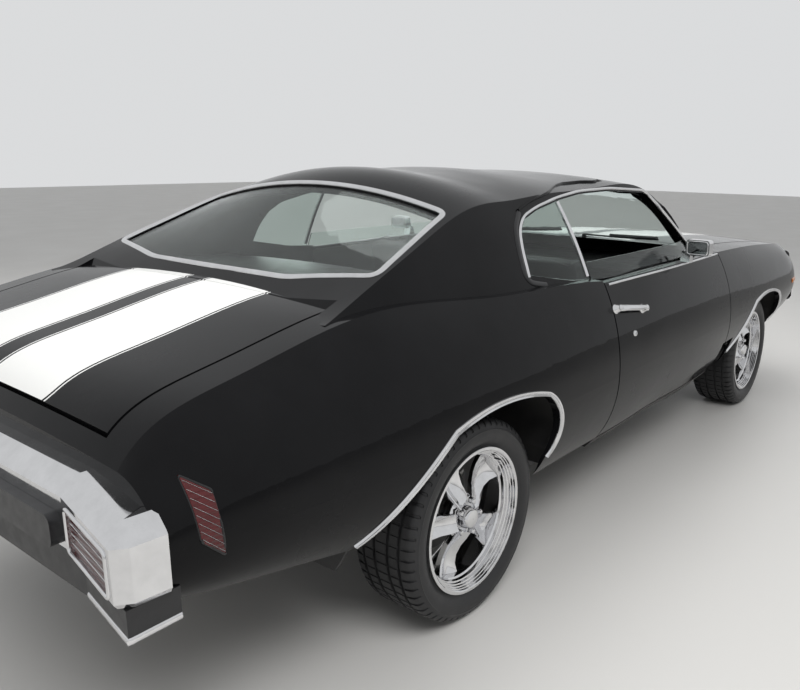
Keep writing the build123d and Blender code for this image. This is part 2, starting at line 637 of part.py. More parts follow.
def rear_axle():
    """Tube, casing, drums and hub flanges, with leaf-like links up to the frame."""
    hub_y = HALF_TRACK + RIM_HUB_IN - FIT
    parts = [rod((REAR_AXLE_X, -hub_y, TYRE_R), (REAR_AXLE_X, hub_y, TYRE_R), 38)]
    parts.append(Pos(REAR_AXLE_X, 0, TYRE_R) * Rot(90, 0, 0) * Cylinder(132, 150))
    parts.append(rod((REAR_AXLE_X, 0, TYRE_R), (REAR_AXLE_X + 240, 0, TYRE_R + 10), 60))
    for s in (1, -1):
        parts.append(rod((REAR_AXLE_X, s * (HALF_TRACK - 75), TYRE_R), (REAR_AXLE_X, s * (HALF_TRACK - 42), TYRE_R), 140))
        parts.append(rod((REAR_AXLE_X, s * (hub_y - 12), TYRE_R), (REAR_AXLE_X, s * hub_y, TYRE_R), 68))
        parts.append(rod((REAR_AXLE_X, s * REAR_RAIL_Y, TYRE_R), (REAR_AXLE_X, s * REAR_RAIL_Y, REAR_RAIL_Z - RAIL_HIGH / 2), 45))
    return fused(parts)


def frame():
    """Perimeter frame with its kick-up over the rear axle, body mounts and bumper brackets."""
    rear_x = TAIL_X + 35
    route = ((FRONT_END_X, FRONT_RAIL_Y, FRONT_END_Z), (2190, FRONT_RAIL_Y, FRONT_END_Z), (1990, FRONT_RAIL_Y, FRONT_RAIL_Z),
             (1250, FRONT_RAIL_Y, FRONT_RAIL_Z), (1000, SIDE_RAIL_Y, SIDE_RAIL_Z), (-760, SIDE_RAIL_Y, SIDE_RAIL_Z),
             (-960, REAR_RAIL_Y, REAR_RAIL_Z), (rear_x, REAR_RAIL_Y, REAR_RAIL_Z))
    parts = []
    for side in (1, -1):
        for (x0, y0, z0), (x1, y1, z1) in zip(route, route[1:]):
            parts.append(beam((x0, side * y0, z0), (x1, side * y1, z1), RAIL_WIDE, RAIL_HIGH))
        for x, y, z in route[1:-1]:
            parts.append(Pos(x, side * y, z) * Box(90, 90, RAIL_HIGH))
        for x in (780, 100, -600):
            parts.append(rod((x, side * SIDE_RAIL_Y, SIDE_RAIL_Z), (x, side * SIDE_RAIL_Y, FLOOR_Z), 30))
    for x, half, z in ((FRONT_END_X - 40, FRONT_RAIL_Y, FRONT_END_Z), (560, SIDE_RAIL_Y, SIDE_RAIL_Z),
                       (-700, SIDE_RAIL_Y, SIDE_RAIL_Z), (rear_x + 40, REAR_RAIL_Y, REAR_RAIL_Z)):
        parts.append(block(x - 40, x + 40, -half, half, z - 34, z + 34))
    parts.append(block(GEARBOX_X + 20, GEARBOX_X + 100, -40, 40, SIDE_RAIL_Z, GEARBOX_Z - 84.5))
    return fused(parts)


def engine():
    return block(ENGINE_X, 1850, -290, 290, ENGINE_Z, 850)


def driveline():
    """Gearbox and propeller shaft."""
    long = ENGINE_X - FIT - GEARBOX_X
    box = Pos(GEARBOX_X + long / 2, 0, GEARBOX_Z) * Rot(0, 90, 0) * Cone(78, 118, long)
    shaft = rod((REAR_AXLE_X + 243, 0, TYRE_R + 10), (GEARBOX_X + 20, 0, GEARBOX_Z - 2), 36)
    return box + shaft


def fuel_tank():
    return block(-2200, -1700, -430, 430, 370, BOOT_FLOOR_Z - FIT)


def exhausts():
    pipe = rod((1100, 230, 180), (-500, 330, 180), 28) + rod((-500, 330, 180), (-900, 430, 180), 28)
    hangers = [rod((x, y, 180), (x, y, SIDE_RAIL_Z - 34 - FIT), 8) for x, y in ((560, 264), (-700, 380))]
    return both(fused([pipe] + hangers))


LAMP_ROWS = ((562.0, 74.0), (730.0, 74.0))
LAMP_MID_Z = 764.0


def grille():
    """Crossing bars between two lamp bezels, with the panel that carries them."""
    back = NOSE_X - 62
    face = INNER & block(back, back + 14, -900, 900, 640, 876)
    parts = [face]
    for i in range(8):
        z = 692 + 20 * i
        parts.append(block(back + 14, NOSE_X - 16, -462, 462, z, z + 5))
    for i in range(15):
        y = -448 + 64 * i
        parts.append(block(back + 14, NOSE_X - 20, y - 2.5, y + 2.5, 680, 850))
    parts.append(block(back + 14, NOSE_X - 4, -462, 462, 757, 772))
    for side in (1, -1):
        near = min(side * 466, side * 824)
        bezel = block(back + 14, NOSE_X - 6, near, near + 358, 672, 856)
        for y, r in LAMP_ROWS:
            bezel = bezel - rod((back, side * y, LAMP_MID_Z), (NOSE_X + 10, side * y, LAMP_MID_Z), r + 2)
        parts.append(bezel & INNER)
    return fused(parts)


def headlamps():
    lamps = []
    start = NOSE_X - 48
    for side in (1, -1):
        for y, r in LAMP_ROWS:
            lamp = rod((start, side * y, LAMP_MID_Z), (start + 26, side * y, LAMP_MID_Z), r)
            lamps.append(lamp)
    return lamps


def bumper_bar(path, section):
    """An open section carried along a plan path and its mirror image, mitred at the corners."""
    points = list(path) + [(x, -y) for x, y in reversed(path)]
    line = Polyline(*[(x, y, 0) for x, y in points])
    along = Vector(points[1][0] - points[0][0], points[1][1] - points[0][1], 0)
    plane = Plane(origin=(points[0][0], points[0][1], 0), x_dir=(-along.Y, along.X, 0), z_dir=along)
    face = plane * make_face(Polyline(*section, close=True))
    return sweep(face, path=line, transition=Transition.RIGHT)


def rear_form(section, shift=0.0):
    """A section set up at each corner of the rear bumper's path and joined by flat faces."""
    half = [dict(zip(REAR_PATH_COLUMNS, row)) for row in REAR_PATH]
    path = half + [dict(row, y=-row["y"]) for row in reversed(half)]
    outs = []
    for a, b in zip(path, path[1:]):
        long = hypot(b["x"] - a["x"], b["y"] - a["y"])
        outs.append(((a["y"] - b["y"]) / long, (b["x"] - a["x"]) / long))
    faces = []
    for i, row in enumerate(path):
        before = outs[max(i - 1, 0)]
        after = outs[min(i, len(outs) - 1)]
        share = 1 + before[0] * after[0] + before[1] * after[1]
        out_x = (before[0] + after[0]) / share
        out_y = (before[1] + after[1]) / share
        points = []
        for out, up in section:
            reach = out - shift
            points.append((row["x"] + out_x * reach, row["y"] + out_y * reach, up - row["drop"]))
        faces.append(make_face(Polyline(*points, close=True)))
    return loft(faces, ruled=True)


def lamp_prism(clear):
    """What the right lamp takes out of the bumper, smaller all round by the clearance."""
    inner, outer = [dict(zip(LAMP_COLUMNS, row)) for row in LAMP_EDGES]
    points = [(inner["y"] - clear, inner["low"] + clear), (outer["y"] + clear, outer["low"] + clear),
              (outer["y"] + clear, outer["high"] - clear), (inner["y"] - clear, inner["high"] - clear)]
    plane = Plane(origin=(REAR_FACE_X - 20, 0, 0), x_dir=(0, 1, 0), z_dir=(1, 0, 0))
    with BuildSketch(plane) as sketch:
        with BuildLine():
            Polyline(*points, close=True)
        make_face()
    return extrude(sketch.sketch, amount=80)


REAR_BAR = rear_form(REAR_SECTION) - OUTER


def pad_plate(x0, x1, clear):
    """The rounded centre pad's form, smaller all round by the clearance."""
    wide = 2 * (PAD_HALF_Y - clear)
    high = PAD_Z[1] - PAD_Z[0] - 2 * clear
    plane = Plane(origin=(x0, 0, (PAD_Z[0] + PAD_Z[1]) / 2), x_dir=(0, 1, 0), z_dir=(1, 0, 0))
    return extrude(plane * RectangleRounded(wide, high, 22), amount=x1 - x0)


def rear_bumper():
    lamp = lamp_prism(0.0)
    bar = REAR_BAR - lamp - mirrored(lamp) - pad_plate(REAR_FACE_X - 20, REAR_FACE_X + 60, 0.0)
    brackets = [block(REAR_FACE_X + 28, TAIL_X, s * 470 - 25, s * 470 + 25, 652, PAD_Z[0] - 3) for s in (1, -1)]
    return fused([bar] + brackets)


def front_bumper():
    """The bar and its two brackets, which stand against the ends of the frame's rails."""
    parts = [bumper_bar(FRONT_PATH, FRONT_SECTION) - OUTER]
    top = FRONT_END_Z + 67
    shelf = FRONT_SECTION[5][1] + 14
    for low in (FRONT_RAIL_Y - 22, -FRONT_RAIL_Y - 22):
        parts.append(block(FRONT_END_X + FIT, NOSE_X - 24, low, low + 44, FRONT_END_Z - 3, top))
        parts.append(block(NOSE_X - 30, FRONT_FACE_X - 17, low, low + 44, shelf, top))
    return fused(parts)


def tail_lamps():
    """The lenses in the bumper's ends, a little behind its face, from one filled form."""
    lens = (rear_form(REAR_FILLED, 4.0) & lamp_prism(FIT)) - rear_form(REAR_FILLED, 20.0)
    return both(lens)


def bumper_pad():
    return pad_plate(REAR_FACE_X, REAR_FACE_X + 40, FIT)


def valance(path, back_x, z0, z1):
    """A hollow panel under a bumper, open below, from its plan path on the left."""
    sign = 1 if back_x > 0 else -1

    def outline(shrink):
        right = [(back_x, path[0][1] - shrink)] + [(x - sign * shrink, y - shrink) for x, y in path]
        return right + [(x, -y) for x, y in reversed(right)]

    return plan_prism(outline(0.0), z0, z1) - plan_prism(outline(VALANCE_T), z0 - 1, z1 - VALANCE_T)


def valances():
    rear_top = REAR_SECTION[7][1] - REAR_PATH[0][2] - FIT
    middle_top = REAR_SECTION[7][1] - FIT
    front_top = FRONT_SECTION[5][1] - FIT
    face = REAR_FACE_X + 55
    rear = valance([(REAR_FACE_X + 18, 874), (face, 645)], TAIL_X + 40, rear_top - VALANCE_H, rear_top)
    rear = rear + valance([(face, 622)], TAIL_X + 40, rear_top - 20, middle_top)
    front = valance([(NOSE_X + 2, 790), (FRONT_FACE_X - 62, 600)], NOSE_X - 20, front_top - VALANCE_H, front_top)
    return solids_of(rear - OUTER) + solids_of(front - OUTER)


def side_markers():
    """Slim upright lamps on the quarter panels, just ahead of the rear bumper."""
    x = TAIL_X + 80
    form = side_prism([(x, 703), (x + 50, 655), (x + 41, 802), (x - 10, 841)], 800, 1000)
    return both((lower_body(-3.0) & form) - (OUTER & form))


def rounded_block(x0, x1, y0, y1, z0, z1, r):
    return fillet(block(x0, x1, y0, y1, z0, z1).edges(), r)


def front_seats():
    """Two cushions, each with its back resting on it."""
    parts = []
    for s in (1, -1):
        near = s * SEAT_Y - SEAT_HALF
        far = s * SEAT_Y + SEAT_HALF
        parts.append(rounded_block(20, 560, near, far, SEAT_Z + FIT, SEAT_TOP_Z, 30))
        back = rounded_block(-70, 60, near, far, 0, 520, 30)
        parts.append(Pos(10, 0, SEAT_TOP_Z - 8.9) * Rot(0, -14, 0) * back)
    return parts


def rear_seat():
    base = rounded_block(STEP_X + 15, REAR_PAN_X, -BOOT_HALF_Y + 30, BOOT_HALF_Y - 30, REAR_PAN_Z + FIT, 585, 30)
    back = rounded_block(-60, 60, -BOOT_HALF_Y + 50, BOOT_HALF_Y - 50, 0, 480, 30)
    return [base, Pos(-790, 0, BOOT_FLOOR_Z + FLOOR_T + 13.7) * Rot(0, -22, 0) * back]


def dashboard():
    """A padded top over a set-back fascia, drawn in side view, and its back half."""
    outline = [(875, 952), (790, 952), (715, 920), (705, 878), (735, 848), (760, 740), (860, 715), (875, 722)]
    return side_prism(outline, -740, 740) + block(875, FIREWALL_X - FIT, -630, 630, 722, 952)


def steering_wheel():
    """Rim, three spokes and the column that runs into the dashboard."""
    with BuildSketch(Plane.XZ) as sketch:
        with Locations((188, 0)):
            RegularPolygon(13, 8)
    ring = revolve(sketch.sketch, Axis.Z)
    spokes = [Rot(0, 0, angle) * Pos(95, 0, 0) * Box(186, 30, 8) for angle in (0, 120, 240)]
    hub = Pos(0, 0, -14) * Cylinder(42, 36)
    column = Pos(0, 0, -180) * Cylinder(24, 320)
    wheel = fused([ring, hub, column] + spokes)
    return (Pos(500, 370, 860) * Rot(0, -62, 0) * wheel) - dashboard()


def mirror_solid():
    """A left door mirror: a rounded head on a foot that stands on the door."""
    plane = Plane(origin=(418, 925, 1072), x_dir=(0, 1, 0), z_dir=(1, 0, 0))
    head = extrude(plane * RectangleRounded(112, 74, 16), amount=52)
    foot = side_prism([(428, DOOR_TOP_Z + FIT), (476, DOOR_TOP_Z + FIT), (462, 1050), (436, 1050)], 866 - 22, 866 + 22)
    neck = block(436, 462, 850, 905, 1040, 1052)
    return fused([head, foot, neck])


# Write one file for each node
os.makedirs("parts", exist_ok=True)


def write(name, shapes):
    """Write the solids of one node."""
    if not isinstance(shapes, (list, tuple)):
        shapes = [shapes]
    solids = [s for shape in shapes for s in solids_of(shape)]
    result = solids[0] if len(solids) == 1 else Compound(children=solids)
    export_step(Pos(-MIDDLE_X, 0, 0) * result, "parts/%s.step" % name)


write("frame", frame())
write("floor_pan", floor_pan())
write("firewall", firewall())
write("front_fenders", fenders())
write("quarter_panels", quarter_panels())
write("parcel_shelf", parcel_shelf())
write("tail_panel", tail_panel())
write("roof", roof())
write("wheel_houses", wheel_houses())
write("fixed_glass", fixed_glass())
write("hood", hood())
write("deck_lid", deck_lid())
write("door_left", door())
write("door_right", mirrored(door()))
write("door_glass_left", door_glass())
write("door_glass_right", mirrored(door_glass()))
write("mirror_left", mirror_solid())
write("mirror_right", mirrored(mirror_solid()))
write("front_suspension", front_suspension())
write("rear_axle", rear_axle())
write("engine", engine())
write("driveline", driveline())
write("fuel_tank", fuel_tank())
write("exhausts", exhausts())
write("grille", grille())
write("headlamps", headlamps())
write("front_bumper", front_bumper())
write("rear_bumper", rear_bumper())
write("valances", valances())
write("rear_lamps", tail_lamps() + side_markers())
write("bumper_pad", bumper_pad())
write("front_seats", front_seats())
write("rear_seat", rear_seat())
write("dashboard", dashboard())
write("steering_wheel", steering_wheel())
for end, axle_x in (("front", FRONT_AXLE_X), ("rear", REAR_AXLE_X)):
    for side_name, side in (("left", 1), ("right", -1)):
        write("tyre_%s_%s" % (end, side_name), tyre(axle_x, side * HALF_TRACK))
        write("rim_%s_%s" % (end, side_name), rim(axle_x, side * HALF_TRACK))
for side_name, side in (("left", 1), ("right", -1)):
    write("knuckle_%s" % side_name, knuckle(side))
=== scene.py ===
import bpy
import bmesh
from math import atan2, cos, pi, radians, sin, sqrt
from mathutils import Matrix, Vector
from mathutils.bvhtree import BVHTree


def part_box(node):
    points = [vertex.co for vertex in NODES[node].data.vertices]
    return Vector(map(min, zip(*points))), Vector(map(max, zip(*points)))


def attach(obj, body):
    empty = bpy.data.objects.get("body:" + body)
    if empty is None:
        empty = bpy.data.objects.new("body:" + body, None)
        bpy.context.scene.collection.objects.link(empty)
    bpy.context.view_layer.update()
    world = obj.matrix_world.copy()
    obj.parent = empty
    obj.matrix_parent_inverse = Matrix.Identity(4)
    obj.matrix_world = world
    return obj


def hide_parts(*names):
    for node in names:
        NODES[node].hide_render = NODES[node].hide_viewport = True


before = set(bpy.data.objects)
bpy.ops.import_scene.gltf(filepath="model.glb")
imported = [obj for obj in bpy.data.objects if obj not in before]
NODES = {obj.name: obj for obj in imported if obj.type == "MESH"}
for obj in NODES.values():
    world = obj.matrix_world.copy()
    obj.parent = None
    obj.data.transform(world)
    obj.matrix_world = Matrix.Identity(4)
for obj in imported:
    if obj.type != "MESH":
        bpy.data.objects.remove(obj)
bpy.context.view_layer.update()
SCENE = bpy.context.scene

# A black muscle car with two white stripes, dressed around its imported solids.
# Metres. +X points forward, +Y to the car's left, +Z up.

# The camera, as solved from the photograph's floor and wheels
IMAGE_W = 800.0
IMAGE_H = 690.0
FOCAL_PX = 753.6
CENTRE_PX = (457.41, 343.14)
CAMERA_PLACE = Vector((-3.1291, -2.1553, 1.4797))
CAMERA_YAW = 37.084
CAMERA_PITCH = -14.041
CAMERA_ROLL = 0.742

# Places that the solids share; x here is from a point MIDDLE behind the frame's origin
MIDDLE = 0.0796
CAR_LENGTH = 5.009
FRONT_AXLE = 1.61 - MIDDLE
REAR_AXLE = -1.235 - MIDDLE
HALF_TRACK = 0.76
TYRE_R = 0.335
STRIPE_MID = 0.2075
STRIPE_HALF = 0.1525
STRIPE_CORNER = 0.055
STRIPE_FOOT = 0.876
PIN_AWAY = 0.0105
PIN_HALF = 0.0026
SIDES = (("left", 1), ("right", -1))
UP = Vector((0, 0, 1))
AHEAD = Vector((1, 0, 0))

# Where rays start: above the car, beyond its ends and beside it
RAY_TOP = 2.0
RAY_END = 3.0
RAY_SIDE = 1.3

# How far a strip's underside is sunk, and the distance at which points merge
SUNK = 0.003
MERGE = 0.00001


# Materials

def new_material(name, color, rough, metal=0.0, coat=0.0, coat_rough=0.03, **extra):
    """A Principled material and what is needed to go on with it."""
    mat = bpy.data.materials.new(name)
    mat.use_nodes = True
    tree = mat.node_tree
    shader = tree.nodes["Principled BSDF"]
    values = {"Base Color": (*color, 1.0), "Roughness": rough, "Metallic": metal,
              "Coat Weight": coat, "Coat Roughness": coat_rough}
    values.update(extra)
    for socket, value in values.items():
        shader.inputs[socket].default_value = value
    return mat, tree, shader


def feed(tree, socket, value):
    """Links a socket to another one, or sets its value."""
    if isinstance(value, bpy.types.NodeSocket):
        tree.links.new(value, socket)
    else:
        socket.default_value = value


def made(tree, kind, **values):
    """A new node with its inputs fed."""
    node = tree.nodes.new("ShaderNode" + kind)
    for name, value in values.items():
        feed(tree, node.inputs[name], value)
    return node


def texture_place(tree, kind="Object"):
    return made(tree, "TexCoord").outputs[kind]


def apart(tree, kind="Object"):
    """The X, Y and Z of a texture place."""
    return made(tree, "SeparateXYZ", Vector=texture_place(tree, kind)).outputs


def noise(tree, scale, detail=3.0, rough=0.55):
    return made(tree, "TexNoise", Scale=scale, Detail=detail, Roughness=rough,
                Vector=texture_place(tree)).outputs["Fac"]


def spread(tree, value, low=0.0, high=1.0, start=0.3, end=0.7):
    """Maps a 0 to 1 pattern on to a range of values."""
    limits = {"From Min": start, "From Max": end, "To Min": low, "To Max": high}
    return made(tree, "MapRange", Value=value, **limits).outputs["Result"]


def bump(tree, shader, height, strength, distance, into="Normal"):
    node = made(tree, "Bump", Strength=strength, Distance=distance, Height=height)
    tree.links.new(node.outputs["Normal"], shader.inputs[into])


def vary(tree, shader, value, low, high, start=0.3, end=0.7):
    """Lets a pattern move the roughness within a range."""
    tree.links.new(spread(tree, value, low, high, start, end), shader.inputs["Roughness"])


def math(tree, operation, *values):
    node = made(tree, "Math")
    node.operation = operation
    for socket, value in zip(node.inputs, values):
        feed(tree, socket, value)
    return node.outputs[0]


def tinted(tree, shader, low, high, pattern):
    """A base colour between two shades, each a colour or a socket, as a pattern says."""
    mix = made(tree, "Mix")
    mix.data_type = "RGBA"
    for name, shade in (("A", low), ("B", high)):
        feed(tree, mix.inputs[name], (*shade, 1.0) if isinstance(shade, tuple) else shade)
    tree.links.new(pattern, mix.inputs["Factor"])
    tree.links.new(mix.outputs["Result"], shader.inputs["Base Color"])
    return mix.outputs["Result"]


def ribs(tree, axis, pitch):
    """A wave along one axis."""
    return math(tree, "SINE", math(tree, "MULTIPLY", apart(tree)[axis], 2 * pi / pitch))


def stripes(tree):
    """1 on the two bands and on the pinstripes round them, 0 elsewhere."""
    place = apart(tree)
    beside = math(tree, "SUBTRACT", math(tree, "ABSOLUTE", place["Y"]), STRIPE_MID)
    away = math(tree, "ABSOLUTE", beside)
    across = math(tree, "MAXIMUM", math(tree, "SUBTRACT", away, STRIPE_HALF - STRIPE_CORNER), 0.0)
    low = math(tree, "SUBTRACT", STRIPE_FOOT + STRIPE_CORNER, place["Z"])
    down = math(tree, "MAXIMUM", math(tree, "MULTIPLY", low, 1.25), 0.0)
    pair = made(tree, "CombineXYZ", X=across, Y=down)
    reach = made(tree, "VectorMath", Vector=pair.outputs[0])
    reach.operation = "LENGTH"
    distance = math(tree, "SUBTRACT", reach.outputs["Value"], STRIPE_CORNER)
    wide = math(tree, "LESS_THAN", distance, 0.0)
    pin = math(tree, "COMPARE", distance, PIN_AWAY, PIN_HALF)
    level = math(tree, "GREATER_THAN", apart(tree, "Normal")["Z"], 0.05)
    return math(tree, "MULTIPLY", math(tree, "MAXIMUM", wide, pin), level)


def paint(name, striped):
    """Deep gloss black; the striped one carries two white bands with pinstripes."""
    mat, tree, shader = new_material(name, (0.004, 0.004, 0.0045), 0.22, 0.0, 0.6, 0.015,
                                     **{"Specular IOR Level": 0.02, "Coat IOR": 1.3})
    haze = noise(tree, 3.0, 4.0)
    vary(tree, shader, haze, 0.18, 0.3)
    bump(tree, shader, noise(tree, 420.0, 2.0), 0.02, 0.0004, "Coat Normal")
    black = tinted(tree, shader, (0.0035, 0.0035, 0.004), (0.0065, 0.0065, 0.0072), spread(tree, haze))
    if striped:
        tinted(tree, shader, black, (0.82, 0.82, 0.8), stripes(tree))
    return mat


def chrome(name, tone, smudge_and_reflection_scale):
    mat, tree, shader = new_material(name, tone, 0.06, 1.0)
    # One pattern gives smudges in the roughness and also carries a painted reflection in the colour
    smudge_and_reflection = noise(tree, smudge_and_reflection_scale, 5.0, 0.65)
    vary(tree, shader, smudge_and_reflection, 0.03, 0.13)
    # Painted reflection: darker patches in the colour stand in for dark surroundings mirrored in the chrome
    tinted(tree, shader, tuple(0.86 * t for t in tone), tone, spread(tree, smudge_and_reflection))
    bump(tree, shader, noise(tree, 60.0, 2.0), 0.03, 0.0006)
    return mat


def plain(name, low, high, rough, grain, depth, metal=0.0):
    """A surface with a fine grain, two close shades and a roughness that varies."""
    mat, tree, shader = new_material(name, low, rough, metal)
    cloud = noise(tree, grain * 0.04, 4.0)
    tinted(tree, shader, low, high, spread(tree, cloud))
    vary(tree, shader, cloud, rough * 0.85, min(1.0, rough * 1.15))
    bump(tree, shader, noise(tree, grain, 3.0), 0.35, depth)
    return mat


def leather(name):
    """Vinyl with a cell grain."""
    mat, tree, shader = new_material(name, (0.014, 0.014, 0.015), 0.5, **{"Specular IOR Level": 0.45})
    cells = made(tree, "TexVoronoi", Scale=420.0, Vector=texture_place(tree))
    cells.feature = "DISTANCE_TO_EDGE"
    cloud = noise(tree, 9.0, 4.0)
    tinted(tree, shader, (0.011, 0.011, 0.012), (0.022, 0.022, 0.023), spread(tree, cloud))
    vary(tree, shader, cloud, 0.42, 0.58)
    bump(tree, shader, spread(tree, cells.outputs["Distance"], 0.0, 1.0, 0.0, 0.12), 0.4, 0.0006)
    return mat


def ribbed(name, color, pitch):
    """Moulded lamp plastic with fine ribs."""
    mat, tree, shader = new_material(name, color, 0.2, 0.0, 0.2, 0.08)
    tinted(tree, shader, tuple(0.75 * c for c in color), color, spread(tree, noise(tree, 30.0)))
    bump(tree, shader, ribs(tree, "Z", pitch), 0.5, 0.0012)
    return mat


def window_glass(name):
    mat, tree, shader = new_material(name, (0.8, 0.88, 0.85), 0.0,
                                     **{"Transmission Weight": 1.0, "IOR": 1.25})
    vary(tree, shader, noise(tree, 5.0), 0.0, 0.03, 0.45, 0.8)
    return mat


def lamp_glass(name):
    mat, tree, shader = new_material(name, (0.92, 0.94, 0.95), 0.04,
                                     **{"Transmission Weight": 0.85, "IOR": 1.45})
    bump(tree, shader, ribs(tree, "Y", 0.011), 0.6, 0.001)
    return mat


LOOKS = {
    "paint": (paint("paint_black", False), "body_black"),
    "striped": (paint("paint_black_striped", True), "body_black"),
    "chrome": (chrome("chrome_bright", (0.8, 0.8, 0.81), 14.0), "chrome"),
    "wheel": (chrome("chrome_wheel", (0.78, 0.78, 0.79), 22.0), "wheel_chrome"),
    "mirror": (chrome("mirror_glass", (0.55, 0.57, 0.58), 4.0), "chrome"),
    "vinyl": (leather("vinyl_black"), "vinyl"),
    "red": (ribbed("lens_red", (0.07, 0.002, 0.003), 0.012), "lamp_red"),
    "amber": (ribbed("lens_amber", (0.6, 0.17, 0.01), 0.009), "lamp_clear"),
    "glass": (window_glass("window_glass"), "window_glass"),
    "lamp": (lamp_glass("lamp_glass"), "lamp_clear"),
}

# Look, slot, material, its two shades, roughness, grain, depth of the grain and metallic
PLAIN_LOOKS = (
    ("chassis", "chassis_black", "chassis_paint", (0.012, 0.012, 0.013), (0.03, 0.029, 0.028),
     0.55, 240, 0.0008),
    ("satin", "satin_black", "satin_black", (0.01, 0.01, 0.011), (0.02, 0.02, 0.021), 0.42, 700, 0.0003),
    ("tyre", "tyre_rubber", "tyre_rubber", (0.009, 0.009, 0.01), (0.018, 0.018, 0.019), 0.5, 520, 0.0005),
    ("rubber", "rubber_black", "rubber_black", (0.007, 0.007, 0.008), (0.015, 0.015, 0.016),
     0.38, 800, 0.0003),
    ("cast", "cast_metal", "cast_metal", (0.05, 0.05, 0.05), (0.095, 0.092, 0.088),
     0.55, 300, 0.001, 0.7),
    ("steel", "bare_steel", "bare_steel", (0.28, 0.28, 0.27), (0.42, 0.41, 0.4), 0.35, 160, 0.0004, 1.0),
    ("cloth", "vinyl", "headliner", (0.02, 0.02, 0.02), (0.032, 0.032, 0.031), 0.9, 900, 0.0006),
    ("dial", "satin_black", "dial_face", (0.55, 0.55, 0.53), (0.66, 0.66, 0.64), 0.4, 500, 0.0001),
)
for look_name, slot_name, *values in PLAIN_LOOKS:
    LOOKS[look_name] = (plain(*values), slot_name)

WHEELS = ("front_left", "front_right", "rear_left", "rear_right")
NODE_LOOKS = {
    "striped": ("hood", "deck_lid", "quarter_panels", "firewall"),
    "paint": ("front_fenders", "tail_panel", "roof", "door_left", "door_right"),
    "chassis": ("frame", "floor_pan", "wheel_houses"),
    "cast": ("front_suspension", "rear_axle", "engine", "driveline", "knuckle_left", "knuckle_right"),
    "steel": ("fuel_tank", "exhausts"),
    "satin": ("grille", "valances", "dashboard", "parcel_shelf", "steering_wheel"),
    "chrome": ("front_bumper", "rear_bumper", "mirror_left", "mirror_right"),
    "red": ("rear_lamps",),
    "rubber": ("bumper_pad",),
    "lamp": ("headlamps",),
    "glass": ("fixed_glass", "door_glass_left", "door_glass_right"),
    "vinyl": ("front_seats", "rear_seat"),
    "tyre": ["tyre_" + wheel for wheel in WHEELS],
    "wheel": ["rim_" + wheel for wheel in WHEELS],
}


def dress_nodes():
    for look, names in NODE_LOOKS.items():
        for name in names:
            node = NODES[name]
            if not node.material_slots:
                node.data.materials.append(None)
            for slot in node.material_slots:
                slot.material = LOOKS[look][0]


# Mesh making

def linked(name, data):
    """A new object in the scene."""
    piece = bpy.data.objects.new(name, data)
    SCENE.collection.objects.link(piece)
    return piece


def tended(mesh, merge=0.0):
    """Merges points that coincide, where asked, and turns the faces outward."""
    work = bmesh.new()
    work.from_mesh(mesh)
    if merge:
        bmesh.ops.remove_doubles(work, verts=work.verts, dist=merge)
    bmesh.ops.recalc_face_normals(work, faces=work.faces)
    work.to_mesh(mesh)
    work.free()


def smoothed(mesh, look):
    """Shades a mesh smooth and gives it the material of a look."""
    for polygon in mesh.polygons:
        polygon.use_smooth = True
    mesh.materials.append(LOOKS[look][0])


class Builder:
    """Collects points and faces of one piece."""

    def __init__(self):
        self.verts = []
        self.faces = []

    def grid(self, rows, wrap_rows=False, wrap_cols=False):
        """Joins equal rows of points with quads."""
        start = len(self.verts)
        wide = len(rows[0])
        high = len(rows)
        for row in rows:
            self.verts.extend(row)
        for i in range(high if wrap_rows else high - 1):
            a = start + i * wide
            b = start + (i + 1) % high * wide
            for j in range(wide if wrap_cols else wide - 1):
                k = (j + 1) % wide
                self.faces.append((a + j, a + k, b + k, b + j))
        return start

    def cap(self, start, count, back=False):
        ring = list(range(start, start + count))
        self.faces.append(tuple(reversed(ring)) if back else tuple(ring))

    def sweep(self, points, ups, profile, closed=False):
        """Carries a profile of side and up pairs along a line of points."""
        rows = []
        count = len(points)
        for i, p in enumerate(points):
            before = points[i - 1] if i > 0 or closed else p
            after = points[(i + 1) % count] if i < count - 1 or closed else p
            along = (after - before).normalized()
            up = (ups[i] - along * ups[i].dot(along)).normalized()
            side = along.cross(up)
            rows.append([p + side * s + up * u for s, u in profile])
        start = self.grid(rows, wrap_rows=closed, wrap_cols=True)
        if not closed:
            self.cap(start, len(profile), True)
            self.cap(start + (count - 1) * len(profile), len(profile))

    def box(self, low, high):
        """A block with a small bevel."""
        low = Vector(low)
        high = Vector(high)
        b = 0.18 * min(high - low)
        rows = []
        for z, inset in ((low.z, b), (low.z + b, 0.0), (high.z - b, 0.0), (high.z, b)):
            x0, x1 = low.x + inset, high.x - inset
            y0, y1 = low.y + inset, high.y - inset
            ring = [(x0 + b, y0), (x1 - b, y0), (x1, y0 + b), (x1, y1 - b),
                    (x1 - b, y1), (x0 + b, y1), (x0, y1 - b), (x0, y0 + b)]
            rows.append([Vector((x, y, z)) for x, y in ring])
        start = self.grid(rows, wrap_cols=True)
        self.cap(start, 8, True)
        self.cap(start + 24, 8)

    def lathe(self, profile, centre, axis, steps, closed=False):
        """Turns a profile of along and radius pairs about an axis."""
        axis = Vector(axis).normalized()
        first = axis.orthogonal()
        first = (first - axis * first.dot(axis)).normalized()
        second = axis.cross(first)
        rows = []
        for i in range(steps):
            angle = 2 * pi * i / steps
            out = first * cos(angle) + second * sin(angle)
            rows.append([Vector(centre) + axis * a + out * r for a, r in profile])
        self.grid(rows, wrap_rows=True, wrap_cols=closed)

    def done(self, name, look, body="root", angle=40.0):
        """The finished piece, riding on a body."""
        mesh = bpy.data.meshes.new(name)
        mesh.from_pydata([tuple(v) for v in self.verts], [], self.faces)
        mesh.validate()
        tended(mesh)
        smoothed(mesh, look)
        mesh.set_sharp_from_angle(angle=radians(angle))
        piece = linked(name, mesh)
        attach(piece, body)
        tended(mesh, MERGE)
        return piece


